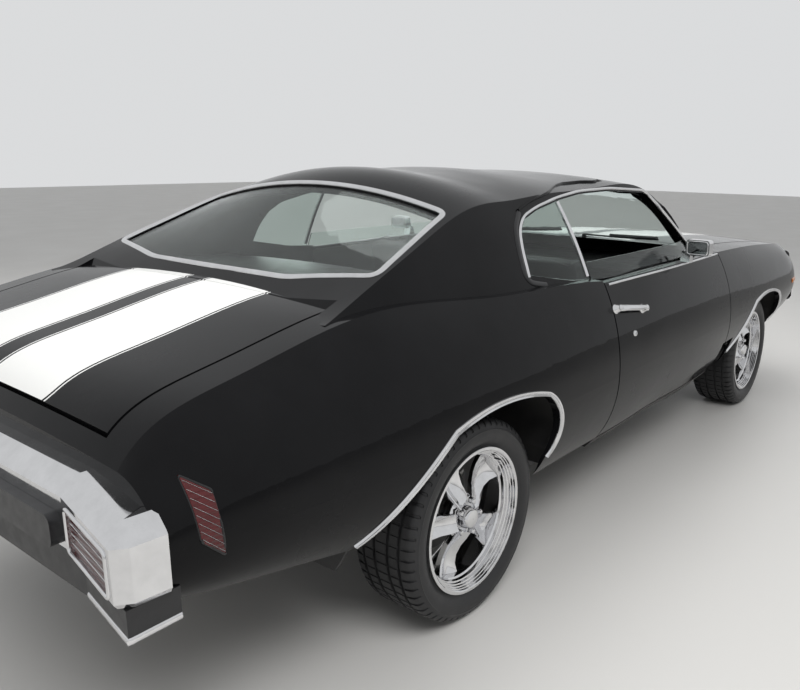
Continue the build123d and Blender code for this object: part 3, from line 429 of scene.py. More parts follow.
def half_round(wide, high, steps=6):
    """A low rounded strip, flat below."""
    points = [(-wide / 2, -SUNK)]
    for i in range(steps + 1):
        angle = pi - pi * i / steps
        points.append((cos(angle) * wide / 2, sin(angle) * high))
    points.append((wide / 2, -SUNK))
    return points


def both_halves(half):
    """A section from its left half, mirrored."""
    return [*half, *((-x, y) for x, y in reversed(half))]


def grooved(wide, high):
    """A strip with a bright lip on each side of a narrow groove."""
    w = wide / 2
    return both_halves([(-w, -SUNK), (-w, high * 0.3), (-w * 0.75, high), (-w * 0.25, high * 0.9),
                        (-w * 0.1, high * 0.45)])


def arc(a, b, c, steps):
    """Points on the arc through three points of a plane."""
    ax, ay = a
    bx, by = b
    cx, cy = c
    d = 2 * (ax * (by - cy) + bx * (cy - ay) + cx * (ay - by))
    a2 = ax * ax + ay * ay
    b2 = bx * bx + by * by
    c2 = cx * cx + cy * cy
    ux = (a2 * (by - cy) + b2 * (cy - ay) + c2 * (ay - by)) / d
    uy = (a2 * (cx - bx) + b2 * (ax - cx) + c2 * (bx - ax)) / d
    r = sqrt((ax - ux) ** 2 + (ay - uy) ** 2)
    start = atan2(ay - uy, ax - ux)
    middle = atan2(by - uy, bx - ux)
    end = atan2(cy - uy, cx - ux)
    while middle > start:
        middle -= 2 * pi
    while end > middle:
        end -= 2 * pi
    if start - end > 2 * pi:
        end += 2 * pi
    turns = [start + (end - start) * i / steps for i in range(steps + 1)]
    return [(ux + r * cos(turn), uy + r * sin(turn)) for turn in turns]


def smooth_line(points, per):
    """A Catmull-Rom line through points."""
    line = [points[0], *points, points[-1]]
    result = []
    for p0, p1, p2, p3 in zip(line, line[1:], line[2:], line[3:]):
        for k in range(per):
            t = k / per
            result.append(0.5 * ((2 * p1) + (p2 - p0) * t + (2 * p0 - 5 * p1 + 4 * p2 - p3) * t * t
                                 + (3 * p1 - p0 - 3 * p2 + p3) * t ** 3))
    return result + [points[-1]]


def edge_line(points, radius, step, closed=True):
    """A plane outline with its corners rounded and its long runs divided."""
    line = []
    count = len(points)
    for i, p in enumerate(points):
        p = Vector(p)
        if not closed and i in (0, count - 1):
            line.append(p)
            continue
        a = Vector(points[i - 1])
        b = Vector(points[(i + 1) % count])
        cut = min(radius, 0.45 * (a - p).length, 0.45 * (b - p).length)
        start = p + (a - p).normalized() * cut
        end = p + (b - p).normalized() * cut
        for k in range(6):
            t = k / 5
            line.append(start * (1 - t) ** 2 + p * 2 * t * (1 - t) + end * t * t)
    result = []
    for a, b in zip(line, line[1:] + line[:1] if closed else line[1:]):
        parts = max(1, int((b - a).length / step))
        result.extend(a.lerp(b, k / parts) for k in range(parts))
    return result if closed else result + [line[-1]]


def skin_of(*names):
    """One search tree over the faces of several CAD nodes."""
    verts = []
    faces = []
    for name in names:
        base = len(verts)
        mesh = NODES[name].data
        verts.extend(v.co.copy() for v in mesh.vertices)
        faces.extend(tuple(base + i for i in p.vertices) for p in mesh.polygons)
    return BVHTree.FromPolygons(verts, faces)


def seat(tree, origin, direction, reach=3.0):
    """Where a ray meets the skin, and the normal there that faces the ray."""
    place, normal, _, _ = tree.ray_cast(Vector(origin), Vector(direction), reach)
    if place is None:
        return None, None
    if normal.dot(Vector(direction)) > 0:
        normal = -normal
    return place, normal


def lay(tree, plan, kind, side=1):
    """Drops a plan line on to the skin: x and y from the top, x and z from a side, y and z from an end."""
    points = []
    ups = []
    for u, v in plan:
        start, way = {"top": ((u, v, RAY_TOP), (0, 0, -1)), "side": ((u, side * RAY_SIDE, v), (0, -side, 0)),
                      "rear": ((-RAY_END, u, v), (1, 0, 0)), "front": ((RAY_END, u, v), (-1, 0, 0))}[kind]
        hit, normal = seat(tree, start, way, 0.75 if kind == "side" else 3.0)
        if hit is not None:
            points.append(hit)
            ups.append(normal)
    return points, [sum(ups[max(0, i - 2):i + 3], Vector()).normalized() for i in range(len(ups))]


def swept(name, look, points, ups, profile, closed=False, body="root"):
    """One piece with a profile carried along a line."""
    b = Builder()
    b.sweep(points, ups, profile, closed)
    b.done(name, look, body)


def strip(name, look, tree, plan, kind, profile, side=1, closed=False, body="root"):
    """One strip of a profile, laid on the skin along a plan line."""
    swept(name, look, *lay(tree, plan, kind, side), profile, closed, body)


def shrinking(points, steps):
    """Rows of a ring drawn in to its middle, from pairs of a share and a shift along x."""
    middle = sum(points, Vector()) / len(points)
    return [[middle + (p - middle) * share + Vector((shift, 0, 0)) for p in points] for share, shift in steps]


def framed(names, look, points, ups, steps, body="root"):
    """A bright bead round an outline and the pane that fills it, with a name for each."""
    swept(names[0], "chrome", points, ups, half_round(0.006, 0.004), True, body)
    b = Builder()
    b.grid(shrinking(points, steps), wrap_cols=True)
    b.done(names[1], look, body)


# Camera, floor and light

SENSOR_MM = 36.0

SCENE.view_settings.view_transform = "Standard"


def make_camera():
    yaw = radians(CAMERA_YAW)
    pitch = radians(CAMERA_PITCH)
    roll = radians(CAMERA_ROLL)
    ahead = Vector((cos(yaw) * cos(pitch), sin(yaw) * cos(pitch), sin(pitch)))
    level = ahead.cross(UP).normalized()
    above = level.cross(ahead)
    right = level * cos(roll) + above * sin(roll)
    up = above * cos(roll) - level * sin(roll)
    data = bpy.data.cameras.new("camera")
    data.sensor_width = SENSOR_MM
    data.lens = FOCAL_PX / IMAGE_W * SENSOR_MM
    data.shift_x = (IMAGE_W / 2 - CENTRE_PX[0]) / IMAGE_W
    data.shift_y = (CENTRE_PX[1] - IMAGE_H / 2) / IMAGE_W
    data.clip_end = 100.0
    camera = linked("camera", data)
    turn = Matrix((right, up, -ahead)).transposed().to_4x4()
    camera.matrix_world = Matrix.Translation(CAMERA_PLACE) @ turn
    SCENE.camera = camera


# Name, place, target, width and length of each soft lamp, and its watts
LAMPS = (
    ("key", (-3.0, -3.5, 4.6), (-0.4, 0.0, 0.6), 3.6, 2.2, 200.0),
    ("over", (0.5, 0.6, 5.2), (0.0, 0.0, 0.8), 6.0, 4.0, 170.0),
    ("fill", (4.0, 4.5, 3.0), (0.0, 0.0, 0.6), 3.5, 2.5, 120.0),
)


def area_lamp(name, place, target, wide, long, power):
    """A soft lamp that lights the car and isn't mirrored in it."""
    data = bpy.data.lights.new(name, "AREA")
    data.shape = "RECTANGLE"
    data.size = wide
    data.size_y = long
    data.energy = power
    lamp = linked(name, data)
    lamp.location = place
    lamp.rotation_euler = (Vector(target) - Vector(place)).to_track_quat("-Z", "Y").to_euler()
    lamp.visible_glossy = False


def make_stage():
    """Pale floor, pale background and three soft lamps."""
    mat, tree, shader = new_material("floor_pale", (0.62, 0.61, 0.59), 0.45)
    vary(tree, shader, noise(tree, 1.5, 4.0), 0.4, 0.52)
    mesh = bpy.data.meshes.new("floor")
    far = 30.0
    corners = [(-far, -far, 0), (far, -far, 0), (far, far, 0), (-far, far, 0)]
    mesh.from_pydata(corners, [], [(0, 1, 2, 3)])
    mesh.materials.append(mat)
    linked("floor", mesh)
    world = bpy.data.worlds.new("world")
    SCENE.world = world
    world.use_nodes = True
    tree = world.node_tree
    sky = tree.nodes["Background"]
    sky.inputs["Color"].default_value = (0.86, 0.87, 0.88, 1.0)
    path = made(tree, "LightPath")
    seen = math(tree, "MAXIMUM", path.outputs["Is Camera Ray"],
                math(tree, "MAXIMUM", path.outputs["Is Glossy Ray"], path.outputs["Is Transmission Ray"]))
    strength = math(tree, "MULTIPLY_ADD", seen, 0.32, 0.5)
    tree.links.new(strength, sky.inputs["Strength"])
    for row in LAMPS:
        area_lamp(*row)


# Wheels

SPOKES = 5
TYRE_PITCHES = 60

# The deep stepped barrel, as distance outward and radius
BARREL = (
    (0.112, 0.2425), (0.1128, 0.2405), (0.1128, 0.233), (0.1105, 0.23), (0.104, 0.229),
    (0.1028, 0.2262), (0.096, 0.225), (0.0948, 0.2215), (0.088, 0.2203), (0.0865, 0.2165),
    (0.078, 0.215), (0.0765, 0.211), (0.065, 0.2098), (0.06, 0.205), (0.02, 0.203),
    (-0.06, 0.206), (-0.096, 0.217), (-0.1115, 0.229), (-0.112, 0.243), (-0.1005, 0.243),
    (-0.1005, 0.2291), (0.1005, 0.2291), (0.1005, 0.2425))
HUB = ((-0.018, 0.001), (-0.018, 0.074), (-0.004, 0.08), (0.03, 0.078), (0.052, 0.074), (0.06, 0.064),
       (0.06, 0.046), (0.057, 0.04), (0.08, 0.035), (0.09, 0.033), (0.0955, 0.029), (0.0975, 0.022),
       (0.0975, 0.001))
NUT = ((0.05, 0.0005), (0.05, 0.0125), (0.066, 0.0125), (0.068, 0.0105), (0.084, 0.01), (0.0885, 0.007),
       (0.09, 0.0005))
NUT_R = 0.057

# Radius, half width, height of the face and depth of each section of a spoke
SPOKE = ((0.052, 0.03, 0.07, 0.02), (0.075, 0.034, 0.06, 0.024), (0.105, 0.036, 0.044, 0.022),
         (0.14, 0.04, 0.034, 0.02), (0.17, 0.047, 0.034, 0.022), (0.192, 0.056, 0.042, 0.026),
         (0.2065, 0.062, 0.05, 0.03))


def spoke_rows(turn):
    """Sections of one broad spoke with a scooped face, from hub to barrel."""
    rows = []
    c, s = cos(turn), sin(turn)
    for radius, half, face, deep in SPOKE:
        scoop = 0.016 * min(1.0, (radius - 0.045) / 0.06)
        lean = 0.1 * (radius - 0.12)
        row = []
        for t, rise in ((-1.0, -0.004), (-0.92, 0.004), (-0.72, 0.002), (-0.35, -0.7 * scoop), (0.0, -scoop),
                        (0.35, -0.8 * scoop), (0.72, 0.0), (0.92, 0.006), (1.0, 0.0)):
            row.append((radius, half * t, face + rise + lean * t))
        for t in (0.9, 0.0, -0.9):
            row.append((radius, half * t, face - deep + lean * t))
        rows.append([Vector((r * c - w * s, o, r * s + w * c)) for r, w, o in row])
    return rows


def wheel_mesh():
    """One wheel about the Y axis at the origin, its face towards plus Y."""
    b = Builder()
    b.lathe(BARREL, (0, 0, 0), (0, 1, 0), 120, closed=True)
    for i in range(SPOKES):
        rows = spoke_rows(radians(360 / SPOKES * i))
        ring = len(rows[0])
        start = b.grid(rows, wrap_cols=True)
        b.cap(start, ring, True)
        b.cap(start + (len(rows) - 1) * ring, ring)
    b.lathe(HUB, (0, 0, 0), (0, 1, 0), 48)
    for i in range(SPOKES):
        angle = radians(360 / SPOKES * i + 180 / SPOKES)
        b.lathe(NUT, Vector((NUT_R * cos(angle), 0.0, NUT_R * sin(angle))), (0, 1, 0), 6)
    return b


# Distance outward and radius of a low tyre's wall, and then of its shoulder
WALL = ((0.0985, 0.2292), (0.101, 0.244), (0.1045, 0.2475), (0.106, 0.252), (0.112, 0.258),
        (0.118, 0.268), (0.1215, 0.28), (0.1222, 0.29), (0.121, 0.3), (0.1216, 0.3012),
        (0.1216, 0.303), (0.12, 0.3045), (0.1165, 0.314))
SHOULDER = ((0.114, 0.318), (0.1105, 0.324), (0.104, 0.33), (0.096, 0.3328), (0.088, 0.3338))


def tyre_profile():
    """Half section of a tyre: distance outward, radius, and 0 wall, 1 shoulder, 2 rib or 3 groove."""
    tread = []
    for middle in (0.07, 0.026):
        tread += [(middle + 0.0065, 0.3346, 2), (middle + 0.0052, 0.3268, 3), (middle - 0.0052, 0.3268, 3),
                  (middle - 0.0065, 0.3348, 2)]
    return [(*p, 0) for p in WALL] + [(*p, 1) for p in SHOULDER] + tread


def tyre_mesh():
    """A tyre about the Y axis with grooves round it and notched shoulders."""
    half = tyre_profile()
    whole = half + [(-o, r, k) for o, r, k in reversed(half)]
    b = Builder()
    rows = []
    for i in range(TYRE_PITCHES):
        for share, notch in ((0.0, 0.0), (0.7, 0.0), (0.74, 1.0), (0.96, 1.0)):
            row = []
            for o, r, kind in whole:
                slant = 0.9 * abs(o) if kind in (1, 2) else 0.0
                angle = 2 * pi * (i + share + slant) / TYRE_PITCHES
                cut = {1: 0.0055, 2: 0.003}.get(kind, 0.0) * notch
                row.append(Vector(((r - cut) * cos(angle), o, (r - cut) * sin(angle))))
            rows.append(row)
    b.grid(rows, wrap_rows=True, wrap_cols=True)
    return b


def place_wheels():
    for end, x in (("front", FRONT_AXLE), ("rear", REAR_AXLE)):
        for side, sign in SIDES:
            turn = Matrix.Rotation(0.0 if sign > 0 else pi, 4, "Z")
            move = Matrix.Translation((x, sign * HALF_TRACK, TYRE_R)) @ turn
            body = "wheel_%s_%s" % (end, side)
            for kind, look, maker in (("rim", "wheel", wheel_mesh), ("tyre", "tyre", tyre_mesh)):
                b = maker()
                b.verts = [move @ v for v in b.verts]
                piece = b.done("%s_look_%s_%s" % (kind, end, side), look, body, 32.0)
                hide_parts("%s_%s_%s" % (kind, end, side))
            valve = Builder()
            place = Vector((x + 0.213 * cos(0.9), sign * HALF_TRACK, TYRE_R + 0.213 * sin(0.9)))
            valve.lathe([(0.085, 0.001), (0.085, 0.0035), (0.108, 0.0032), (0.109, 0.001)], place,
                        (0, sign, 0), 10)
            valve.done("valve_%s_%s" % (end, side), "rubber", body)


# Bright trim

# Distance ahead of the axle and below the arch's top
ARCH_ROWS = ((-0.535, 0.255), (-0.375, 0.137), (-0.205, 0.027), (0.035, 0.0), (0.285, 0.035),
             (0.37, 0.125), (0.352, 0.285))
ARCH_RISE = 0.3
ARCHES = (("front_fenders", FRONT_AXLE, 0.698, "front"), ("quarter_panels", REAR_AXLE, 0.733, "rear"))


def arch_line(axle, top, grow, steps=22):
    points = []
    for ahead, below in ARCH_ROWS:
        rise = ARCH_RISE - below
        scale = 1 + grow / sqrt(ahead * ahead + rise * rise)
        points.append((axle + ahead * scale, top - ARCH_RISE + rise * scale))
    line = arc(*points[0:3], steps)[:-1] + arc(*points[2:5], steps)[:-1] + arc(*points[4:7], steps)
    return [Vector(p) for p in line]


def wheel_lips():
    """A grooved bright lip round each wheel opening."""
    for node, axle, top, end in ARCHES:
        tree = skin_of(node)
        for side, sign in SIDES:
            strip("wheel_lip_%s_%s" % (end, side), "chrome", tree, arch_line(axle, top, 0.011), "side",
                  grooved(0.021, 0.0065), sign)


WINDOW_SIDE = ((0.742, 1.004), (0.338, 1.318), (0.0, 1.336), (-0.263, 1.33), (-0.44, 1.312),
               (-0.61, 1.284), (-0.715, 1.256), (-0.772, 1.212), (-0.8, 1.15), (-0.814, 1.074),
               (-0.667, 1.046), (-0.424, 1.004))
REAR_HALF = ((-1.092, -0.606), (-1.48, -0.668), (-1.54, -0.36))
SCREEN_HALF = ((0.795, -0.742), (0.348, -0.606))

# Sections of the drip rail and of the quarter window's upright, with its x, foot and top
DRIP_RAIL = ((-0.005, -0.004), (-0.005, 0.004), (-0.002, 0.008), (0.003, 0.008), (0.005, 0.004),
             (0.005, -0.004))
UPRIGHT = both_halves([(-0.009, -0.008), (-0.009, 0.003), (-0.006, 0.006)])
QUARTER_STRIP = (-0.436, 1.006, 1.306)

# Section of the door handle's bar, turned forms of its feet and of the lock, and their places
HANDLE_BAR = ((-0.011, -0.005), (-0.012, 0.0), (-0.008, 0.006), (0.0, 0.008), (0.008, 0.006), (0.012, 0.0),
              (0.011, -0.005))
HANDLE_FOOT = ((-0.004, 0.0005), (-0.004, 0.021), (0.004, 0.02), (0.01, 0.015), (0.026, 0.013),
               (0.03, 0.008), (0.031, 0.0005))
LOCK = ((-0.004, 0.0005), (-0.004, 0.013), (0.003, 0.0125), (0.006, 0.01), (0.0065, 0.0065), (0.004, 0.006),
        (0.004, 0.0005))
HANDLE_ENDS = ((-0.375, 0.902), (-0.15, 0.872))
LOCK_PLACE = (-0.253, 0.789)


def grown(points, amount):
    """A convex outline pushed outward by an amount."""
    middle = Vector((sum(p[0] for p in points) / len(points), sum(p[1] for p in points) / len(points)))
    result = []
    for i, p in enumerate(points):
        p = Vector(p)
        a = (p - Vector(points[i - 1])).normalized()
        b = (Vector(points[(i + 1) % len(points)]) - p).normalized()
        na, nb = (n if n.dot(p - middle) >= 0 else -n for n in (Vector((a.y, -a.x)), Vector((b.y, -b.x))))
        n = (na + nb).normalized()
        result.append(p + n * (amount / max(0.4, n.dot(na))))
    return result


def moved(points):
    return [(x - MIDDLE, v) for x, v in points]


def window_trims():
    """Bright window frames, seals behind the quarter windows, and drip rails."""
    for name, half, wide, nodes in (
            ("rear_window_trim", REAR_HALF, 0.022, ("roof", "quarter_panels", "parcel_shelf")),
            ("windscreen_trim", SCREEN_HALF, 0.02, ("roof", "firewall", "front_fenders"))):
        plan = [*half, *((x, -y) for x, y in reversed(half))]
        outline = edge_line(grown(moved(plan), 0.009), 0.035, 0.03)
        strip(name, "chrome", skin_of(*nodes), outline, "top", half_round(wide, 0.007), closed=True)
    tree = skin_of("roof")
    window = moved(WINDOW_SIDE)
    for side, sign in SIDES:
        for name, look, first, last, amount, wide, high in (
                ("side_window_trim", "chrome", 0, 10, 0.01, 0.014, 0.009),
                ("quarter_seal", "rubber", 6, 11, 0.027, 0.022, 0.005)):
            run = edge_line(grown(window, amount)[first:last], 0.05, 0.02, closed=False)
            strip("%s_%s" % (name, side), look, tree, run, "side", half_round(wide, high), sign)
        rail = smooth_line([Vector(p) for p in grown(window, 0.034)[0:7]], 9)
        strip("drip_rail_%s" % side, "paint", tree, rail, "side", DRIP_RAIL, sign)


def quarter_strips():
    """The bright upright at the front of each quarter window."""
    glass = skin_of("fixed_glass")
    x, foot, top = QUARTER_STRIP
    for side, sign in SIDES:
        points = []
        ups = []
        for i in range(15):
            z = foot + (top - foot) * i / 14
            hit, normal = seat(glass, (x - MIDDLE, sign * RAY_SIDE, z), (0, -sign, 0), 1.0)
            if hit is not None:
                points.append(hit)
                ups.append(normal)
        swept("quarter_strip_%s" % side, "chrome", points, ups, UPRIGHT)


def belts():
    """A bright strip along the top of each door."""
    for side, sign in SIDES:
        name = "door_%s" % side
        low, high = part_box(name)
        line = [(low.x + 0.012 + (high.x - low.x - 0.06) * i / 60, high.z - 0.009) for i in range(61)]
        strip("belt_%s" % side, "chrome", skin_of(name), line, "side", half_round(0.011, 0.006), sign,
              body=name + "_body")


def handles():
    """A raised handle on two feet and a round lock on each door."""
    (x0, z0), (x1, z1) = HANDLE_ENDS
    steps = 12
    for side, sign in SIDES:
        name = "door_%s" % side
        tree = skin_of(name)
        line = [(x0 + (x1 - x0) * i / steps - MIDDLE, z0 + (z1 - z0) * i / steps) for i in range(steps + 1)]
        points, ups = lay(tree, line, "side", sign)
        lifted = []
        for i, (p, up) in enumerate(zip(points, ups)):
            t = i / steps
            lifted.append(p + up * (0.03 * min(1.0, 6 * t, 6 * (1 - t)) ** 0.5))
        b = Builder()
        b.sweep(lifted, ups, HANDLE_BAR)
        for i in (0, steps):
            b.lathe(HANDLE_FOOT, points[i], ups[i], 24)
        b.done("handle_%s" % side, "chrome", name + "_body")
        hit, normal = seat(tree, (LOCK_PLACE[0] - MIDDLE, sign * RAY_SIDE, LOCK_PLACE[1]), (0, -sign, 0))
        b = Builder()
        b.lathe(LOCK, hit, normal, 28)
        b.done("lock_%s" % side, "chrome", name + "_body")


# Lamps, grille and mirrors

REAR_FACE = -CAR_LENGTH / 2
TAIL = REAR_FACE + 0.097
NOSE = CAR_LENGTH / 2 - 0.1
LAMP_QUAD = ((-0.656, 0.756), (-0.656, 0.668), (-0.838, 0.64), (-0.838, 0.73))
MARKER_LOW = ((0.08, 0.703), (0.13, 0.655))
MARKER_HIGH = ((0.07, 0.841), (0.121, 0.802))
VALANCE_FOOT = 0.546


def lamp_bezels():
    """A bright bead round each rear lamp and three fine lines across its lens."""
    tree = skin_of("rear_bumper")
    lens = skin_of("rear_lamps")
    for side, sign in SIDES:
        quad = [(-sign * y, z) for y, z in LAMP_QUAD]
        outline = edge_line(grown(quad, 0.005), 0.012, 0.03)
        strip("lamp_bezel_%s" % side, "chrome", tree, outline, "rear", half_round(0.009, 0.004), closed=True)
        b = Builder()
        (y0, top0), (_, low0), (y1, low1), (_, top1) = quad
        for share in (0.25, 0.5, 0.75):
            line = []
            for i in range(17):
                t = 0.03 + 0.94 * i / 16
                low = low0 + (low1 - low0) * t
                high = top0 + (top1 - top0) * t
                line.append((y0 + (y1 - y0) * t, low + (high - low) * share))
            b.sweep(*lay(lens, line, "rear"), half_round(0.0028, 0.0016, 4))
        b.done("lamp_lines_%s" % side, "chrome")


def marker_slats():
    """Dark frame and bright slanted slats over each rear side marker."""
    tree = skin_of("rear_lamps", "quarter_panels")
    low = [(TAIL + x, z) for x, z in MARKER_LOW]
    high = [(TAIL + x, z) for x, z in MARKER_HIGH]
    for side, sign in SIDES:
        outline = edge_line([low[0], low[1], high[1], high[0]], 0.006, 0.02)
        strip("marker_frame_%s" % side, "rubber", tree, outline, "side", half_round(0.005, 0.002), sign, True)
        b = Builder()
        for k in range(8):
            t = 0.06 + 0.88 * k / 7
            a = Vector(low[0]).lerp(Vector(high[0]), t)
            c = Vector(low[1]).lerp(Vector(high[1]), t)
            line = [a.lerp(c, 0.04 + 0.92 * i / 8) for i in range(9)]
            b.sweep(*lay(tree, line, "side", sign), half_round(0.0018, 0.0022, 4))
        b.done("marker_slats_%s" % side, "chrome")


def valance_edge():
    """A bright strip round the foot of the rear valance's end."""
    tree = skin_of("valances")
    for side, sign in SIDES:
        b = Builder()
        line = [(-sign * (0.874 - 0.22 * i / 12), VALANCE_FOOT) for i in range(13)]
        points, ups = lay(tree, line, "rear")
        side_line = [(TAIL + 0.038 - 0.112 * i / 8, VALANCE_FOOT) for i in range(9)]
        more, more_ups = lay(tree, side_line, "side", -sign)
        b.sweep(more + points, more_ups + ups, half_round(0.016, 0.004))
        b.done("valance_edge_%s" % side, "chrome")


# Distance from the middle and radius of each lamp, and the height of all four
HEADLAMPS = ((0.562, 0.074), (0.73, 0.074))
HEADLAMP_Z = 0.764


def head_lamps():
    """Bright ring, bowl and domed ribbed lens for each of the four lamps."""
    face = NOSE - 0.022
    for side, sign in SIDES:
        ring = Builder()
        bowl = Builder()
        lens = Builder()
        for y, r in HEADLAMPS:
            place = (face, sign * y, HEADLAMP_Z)
            ring.lathe([(-0.01, r - 0.007), (0.004, r - 0.007), (0.01, r - 0.002), (0.011, r + 0.006),
                        (0.006, r + 0.013), (-0.004, r + 0.014)], place, AHEAD, 48)
            turns = [0.5 * pi * k / 8 for k in range(9)]
            dome = [(0.003 + 0.012 * cos(turn), 0.0004 + (r - 0.0074) * sin(turn)) for turn in turns]
            lens.lathe(dome + [(-0.002, r - 0.007), (-0.002, 0.0004)], place, AHEAD, 40)
            bowl.lathe([(-0.0025, r - 0.008), (-0.004, 0.6 * r), (-0.0044, 0.0004)], place, AHEAD, 40)
        ring.done("headlamp_rings_%s" % side, "chrome")
        bowl.done("headlamp_bowls_%s" % side, "mirror")
        lens.done("headlamp_lenses_%s" % side, "lamp")


def grille_frame():
    """A bright frame round the grille opening and its bright middle bar."""
    b = Builder()
    corners = [(-0.842, 0.664), (0.842, 0.664), (0.836, 0.862), (-0.836, 0.862)]
    x = NOSE - 0.014
    points = [Vector((x, y, z)) for y, z in edge_line(corners, 0.03, 0.05)]
    b.sweep(points, [AHEAD] * len(points), half_round(0.013, 0.008), closed=True)
    middle = [Vector((NOSE - 0.003, -0.455 + 0.91 * i / 8, 0.7645)) for i in range(9)]
    b.sweep(middle, [AHEAD] * 9, half_round(0.01, 0.005))
    b.done("grille_frame", "chrome")


def turn_lamps():
    """Amber lamps under the front bumper's ends and slim amber side markers."""
    tree = skin_of("valances")
    fender = skin_of("front_fenders")
    for side, sign in SIDES:
        corners = [(sign * 0.4, 0.5), (sign * 0.54, 0.5), (sign * 0.54, 0.53), (sign * 0.4, 0.53)]
        points, ups = lay(tree, edge_line(corners, 0.01, 0.02), "front")
        dome = [(share, 0.005 * (1 - share * share)) for share in (0.96, 0.7, 0.4, 0.02)]
        framed(("turn_lamp_frame_%s" % side, "turn_lamp_%s" % side), "amber", points, ups, dome)
        line = [(NOSE - 0.2 + 0.11 * i / 6, 0.69) for i in range(7)]
        strip("front_marker_%s" % side, "amber", fender, line, "side", half_round(0.03, 0.006), sign)


def door_mirrors():
    """Dark mirror glass in a bright bead on the rear face of each door mirror."""
    for side, sign in SIDES:
        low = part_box("mirror_%s" % side)[0]
        y0 = sign * 0.925 - 0.048
        corners = [(y0, 1.042), (y0 + 0.096, 1.042), (y0 + 0.096, 1.102), (y0, 1.102)]
        points = [Vector((low.x - 0.0005, y, z)) for y, z in edge_line(corners, 0.014, 0.012)]
        dish = [(share, -(0.0012 + 0.001 * (1 - share))) for share in (0.99, 0.6, 0.3, 0.02)]
        framed(("mirror_bead_%s" % side, "mirror_glass_%s" % side), "mirror", points,
               [-AHEAD] * len(points), dish, "door_%s_body" % side)


# Inside the cabin

def soft_block(length, wide, thick, voxel):
    """A closed rounded block about the origin, with a modifier that remeshes it evenly."""
    work = bmesh.new()
    bmesh.ops.create_cube(work, size=1.0)
    bmesh.ops.scale(work, vec=(length, wide, thick), verts=work.verts)
    bmesh.ops.bevel(work, geom=work.edges[:], offset=0.3 * thick, segments=4, profile=0.5, affect="EDGES")
    mesh = bpy.data.meshes.new("soft_block")
    work.to_mesh(mesh)
    work.free()
    block = linked("soft_block", mesh)
    remesh = block.modifiers.new("even", "REMESH")
    remesh.mode = "VOXEL"
    remesh.voxel_size = voxel
    return block


def evaluated(piece):
    """A copy of a piece's mesh with its modifiers applied."""
    bpy.context.view_layer.update()
    graph = bpy.context.evaluated_depsgraph_get()
    return bpy.data.meshes.new_from_object(piece.evaluated_get(graph))


# Cloth settings of a cushion's cover, how far its filling may push it out, the depth of a seam
# and how far a front seat is from the middle
CLOTH = {"quality": 5, "mass": 0.3, "tension_stiffness": 12.0, "compression_stiffness": 12.0,
         "bending_stiffness": 0.6, "use_pressure": True, "uniform_pressure_force": 4.0,
         "vertex_group_mass": "held"}
SWELL_CAP = 0.016
SEAM_DEPTH = 0.007
SEAT_Y = 0.39


def swollen(length, wide, thick, voxel):
    """The block after its cover is blown up by the filling, no point moving past the cap."""
    block = soft_block(length, wide, thick, voxel)
    block.data = evaluated(block)
    block.modifiers.clear()
    rest = [v.co.copy() for v in block.data.vertices]
    group = block.vertex_groups.new(name="held")
    held = [v.index for v in block.data.vertices if v.co.z < -0.46 * thick]
    group.add(held, 1.0, "REPLACE")
    cloth = block.modifiers.new("cover", "CLOTH")
    for key, value in CLOTH.items():
        setattr(cloth.settings, key, value)
    cloth.settings.effector_weights.gravity = 0.0
    for step in range(1, 21):
        SCENE.frame_set(step)
    blown = evaluated(block)
    for v, start in zip(blown.vertices, rest):
        shift = v.co - start
        if shift.length > SWELL_CAP:
            v.co = start + shift * (SWELL_CAP / shift.length)
    block.modifiers.clear()
    block.data = blown
    SCENE.frame_set(1)
    smooth = block.modifiers.new("smooth", "SUBSURF")
    smooth.levels = 1
    smooth.render_levels = 1
    mesh = evaluated(block)
    bpy.data.objects.remove(block)
    return mesh


def bell(distance, width):
    """1 at no distance, falling off over about a width."""
    return 2.718 ** (-(distance / width) ** 2)


def sewn(mesh, thick, margin, pitch):
    """Presses a seam round the top panel and channels along it into a cushion's upper face."""
    xs = [v.co.x for v in mesh.vertices]
    ys = [v.co.y for v in mesh.vertices]
    x0, x1 = min(xs) + margin, max(xs) - margin
    y0, y1 = min(ys) + margin, max(ys) - margin
    for v in mesh.vertices:
        if v.co.z < 0.1 * thick:
            continue
        x, y = v.co.x, v.co.y
        inside = min(x - x0, x1 - x, y - y0, y1 - y)
        press = 0.8 * bell(inside, 0.007)
        if inside > 0:
            phase = (y - y0) / pitch
            near = abs(phase - round(phase)) * pitch
            press = max(press, bell(near, 0.006))
        v.co.z -= SEAM_DEPTH * press


def padded_piece(name, mesh, place, node):
    mesh = mesh.copy()
    mesh.transform(place)
    mesh.materials.clear()
    smoothed(mesh, "vinyl")
    piece = linked(name, mesh)
    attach(piece, "root")
    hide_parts(node)


# Length, width, thickness and voxel of each cushion, its seam's margin and its channels' pitch
CUSHIONS = {
    "front": (0.505, 0.465, 0.1, 0.011, 0.055, 0.058),
    "front_back": (0.49, 0.465, 0.1, 0.011, 0.055, 0.058),
    "rear": (0.335, 1.08, 0.095, 0.013, 0.045, 0.06),
    "rear_back": (0.445, 1.035, 0.09, 0.013, 0.045, 0.06),
}


def leaning(degrees, ahead, above):
    """Stands a cushion on end as a back and leans it over."""
    return (Matrix.Rotation(radians(degrees), 4, "Y") @ Matrix.Translation((ahead, 0, above))
            @ Matrix.Rotation(radians(90), 4, "Y"))


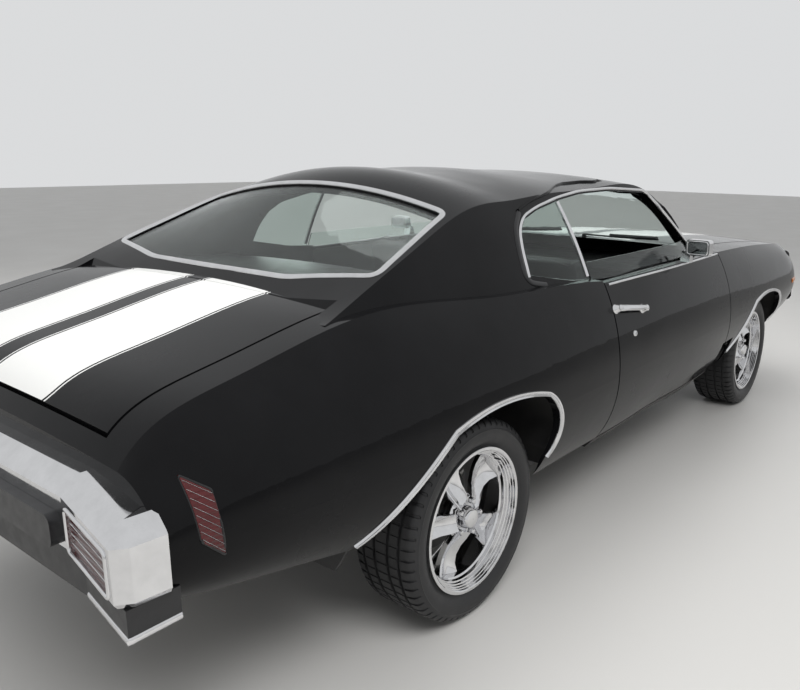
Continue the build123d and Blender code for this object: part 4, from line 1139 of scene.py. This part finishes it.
def seats():
    """Two bucket seats and a rear bench, each a cushion and a leaning back."""
    pads = {}
    for kind, (*size, margin, pitch) in CUSHIONS.items():
        pads[kind] = swollen(*size)
        sewn(pads[kind], size[2], margin, pitch)
    for side, sign in SIDES:
        place = Matrix.Translation((0.29 - MIDDLE, sign * SEAT_Y, 0.492))
        padded_piece("seat_cushion_%s" % side, pads["front"], place, "front_seats")
        place = Matrix.Translation((0.01 - MIDDLE, sign * SEAT_Y, 0.546)) @ leaning(-14, -0.005, 0.268)
        padded_piece("seat_back_%s" % side, pads["front_back"], place, "front_seats")
    place = Matrix.Translation((-0.525 - MIDDLE, 0, 0.526))
    padded_piece("rear_cushion", pads["rear"], place, "rear_seat")
    place = Matrix.Translation((-0.79 - MIDDLE, 0, 0.5577)) @ leaning(-22, 0, 0.24)
    padded_piece("rear_back", pads["rear_back"], place, "rear_seat")


def headliner():
    """Dark cloth under the roof, a little below its inner face."""
    tree = skin_of("roof")
    long, wide = 26, 21
    b = Builder()
    index = {}
    for i in range(long):
        for k in range(wide):
            x = 0.3 - 1.32 * i / (long - 1) - MIDDLE
            y = -0.575 + 1.15 * k / (wide - 1)
            hit, _ = seat(tree, (x, y, 1.15), (0, 0, 1), 0.5)
            if hit is not None:
                index[i, k] = len(b.verts)
                b.verts.append(hit - Vector((0, 0, 0.006)))
    for i in range(long - 1):
        for k in range(wide - 1):
            ring = [(i, k), (i, k + 1), (i + 1, k + 1), (i + 1, k)]
            if all(c in index for c in ring):
                b.faces.append(tuple(index[c] for c in ring))
    b.done("headliner", "cloth")


# Share of the door card's outline and how far it stands out, and its corners
CARD_STEPS = ((1.0, 0.0), (0.995, 0.007), (0.94, 0.011), (0.9, 0.009), (0.86, 0.012), (0.5, 0.013),
              (0.02, 0.013))
CARD = ((-0.375, 0.4), (0.86, 0.4), (0.875, 0.965), (-0.375, 0.99))
CARD_INNER = 0.8215


def door_cards():
    """Trim panel, armrest and window crank inside each door."""
    ring = edge_line(CARD, 0.04, 0.04)
    middle = Vector((0.25, 0.69))
    for side, sign in SIDES:
        body = "door_%s_body" % side
        inner = sign * CARD_INNER
        b = Builder()
        rows = []
        for share, rise in CARD_STEPS:
            rows.append([Vector((middle.x + (p.x - middle.x) * share - MIDDLE, inner - sign * rise,
                                 middle.y + (p.y - middle.y) * share)) for p in ring])
        b.grid(rows, wrap_cols=True)
        b.done("door_card_%s" % side, "vinyl", body)
        b = Builder()
        y0, y1 = sorted((inner - sign * 0.06, inner - sign * 0.01))
        b.box((0.02 - MIDDLE, y0, 0.69), (0.46 - MIDDLE, y1, 0.735))
        b.done("armrest_%s" % side, "vinyl", body)
        b = Builder()
        hub = Vector((0.58 - MIDDLE, inner - sign * 0.012, 0.7))
        out = Vector((0, -sign, 0))
        arm = hub + out * 0.016
        b.lathe([(0.0, 0.0004), (0.0, 0.017), (0.01, 0.015), (0.014, 0.008), (0.015, 0.0004)], hub, out, 20)
        b.sweep([hub + out * 0.011, arm + Vector((0.06, 0, -0.03)), arm + Vector((0.11, 0, -0.055))],
                [out] * 3, half_round(0.012, 0.005))
        b.lathe([(0.0, 0.0004), (0.0, 0.009), (0.02, 0.011), (0.024, 0.0004)],
                arm + Vector((0.108, 0, -0.054)), out, 16)
        b.done("window_crank_%s" % side, "chrome", body)


# Distance to the left and radius of each dial, their height, and the turned form of a knob
DIALS = ((0.47, 0.046), (0.355, 0.046), (0.255, 0.03), (0.57, 0.03))
DIAL_Z = 0.812
KNOB = ((0.0, 0.0004), (0.0, 0.01), (0.012, 0.009), (0.014, 0.006), (0.014, 0.0004))
MARK = both_halves([(-0.0009, 0.0), (-0.0009, 0.0008)])
STALK = both_halves([(-0.004, -0.004), (-0.004, 0.004)])


def dials():
    """Round dials with plain marks, and a row of knobs, on the fascia ahead of the wheel."""
    tree = skin_of("dashboard")
    rings = Builder()
    faces = Builder()
    marks = Builder()
    for y, r in DIALS:
        hit, normal = seat(tree, (0.4, y, DIAL_Z), (1, 0, 0))
        if hit is None:
            continue
        rings.lathe([(-0.002, r + 0.004), (0.006, r + 0.004), (0.008, r), (0.004, r - 0.003)], hit,
                    normal, 32)
        faces.lathe([(0.001, 0.0004), (0.001, r - 0.002)], hit, normal, 32)
        level = normal.cross(UP).normalized()
        above = level.cross(normal)
        for k in range(11):
            angle = radians(225 - 27 * k)
            out = level * cos(angle) + above * sin(angle)
            a = hit + normal * 0.0018 + out * (r * 0.72)
            c = hit + normal * 0.0018 + out * (r * 0.9)
            marks.sweep([a, c], [normal, normal], MARK)
    for i in range(6):
        hit, normal = seat(tree, (0.4, 0.14 - 0.055 * i, 0.8), (1, 0, 0))
        if hit is not None:
            rings.lathe(KNOB, hit, normal, 16)
    rings.done("dial_rings", "chrome")
    faces.done("dial_faces", "satin")
    marks.done("dial_marks", "dial")


def inner_mirror():
    """The rear-view mirror on its stalk behind the windscreen."""
    b = Builder()
    b.box((0.3 - MIDDLE, -0.11, 1.262), (0.316 - MIDDLE, 0.11, 1.312))
    stalk = [Vector((x - MIDDLE, 0, z)) for x, z in ((0.312, 1.3), (0.325, 1.335), (0.322, 1.362))]
    b.sweep(stalk, [Vector((0, 1, 0))] * 3, STALK)
    b.done("inner_mirror", "satin")


def wipers():
    """Two parked wipers on the cowl: a pivot, an arm and a blade each."""
    glass = skin_of("fixed_glass", "roof", "firewall", "hood", "front_fenders")
    for name, pivot, tip in (("left", 0.42, -0.02), ("right", -0.14, -0.6)):
        line = [(0.79 - MIDDLE - 0.05 * t / 8, pivot + (tip - pivot) * t / 8) for t in range(9)]
        points, ups = lay(glass, line, "top")
        b = Builder()
        lifted = [p + Vector((0, 0, 0.012)) for p in points]
        b.sweep(lifted, ups, half_round(0.01, 0.006))
        b.lathe([(-0.004, 0.0004), (-0.004, 0.013), (0.014, 0.011), (0.018, 0.0004)], points[0], UP, 16)
        b.sweep([p + Vector((-0.012, 0, 0.008)) for p in lifted[3:]], ups[3:], half_round(0.007, 0.01))
        b.done("wiper_%s" % name, "satin")


def main():
    make_camera()
    make_stage()
    dress_nodes()
    place_wheels()
    wheel_lips()
    window_trims()
    quarter_strips()
    belts()
    handles()
    lamp_bezels()
    marker_slats()
    valance_edge()
    head_lamps()
    grille_frame()
    turn_lamps()
    door_mirrors()
    seats()
    headliner()
    door_cards()
    dials()
    inner_mirror()
    wipers()


main()
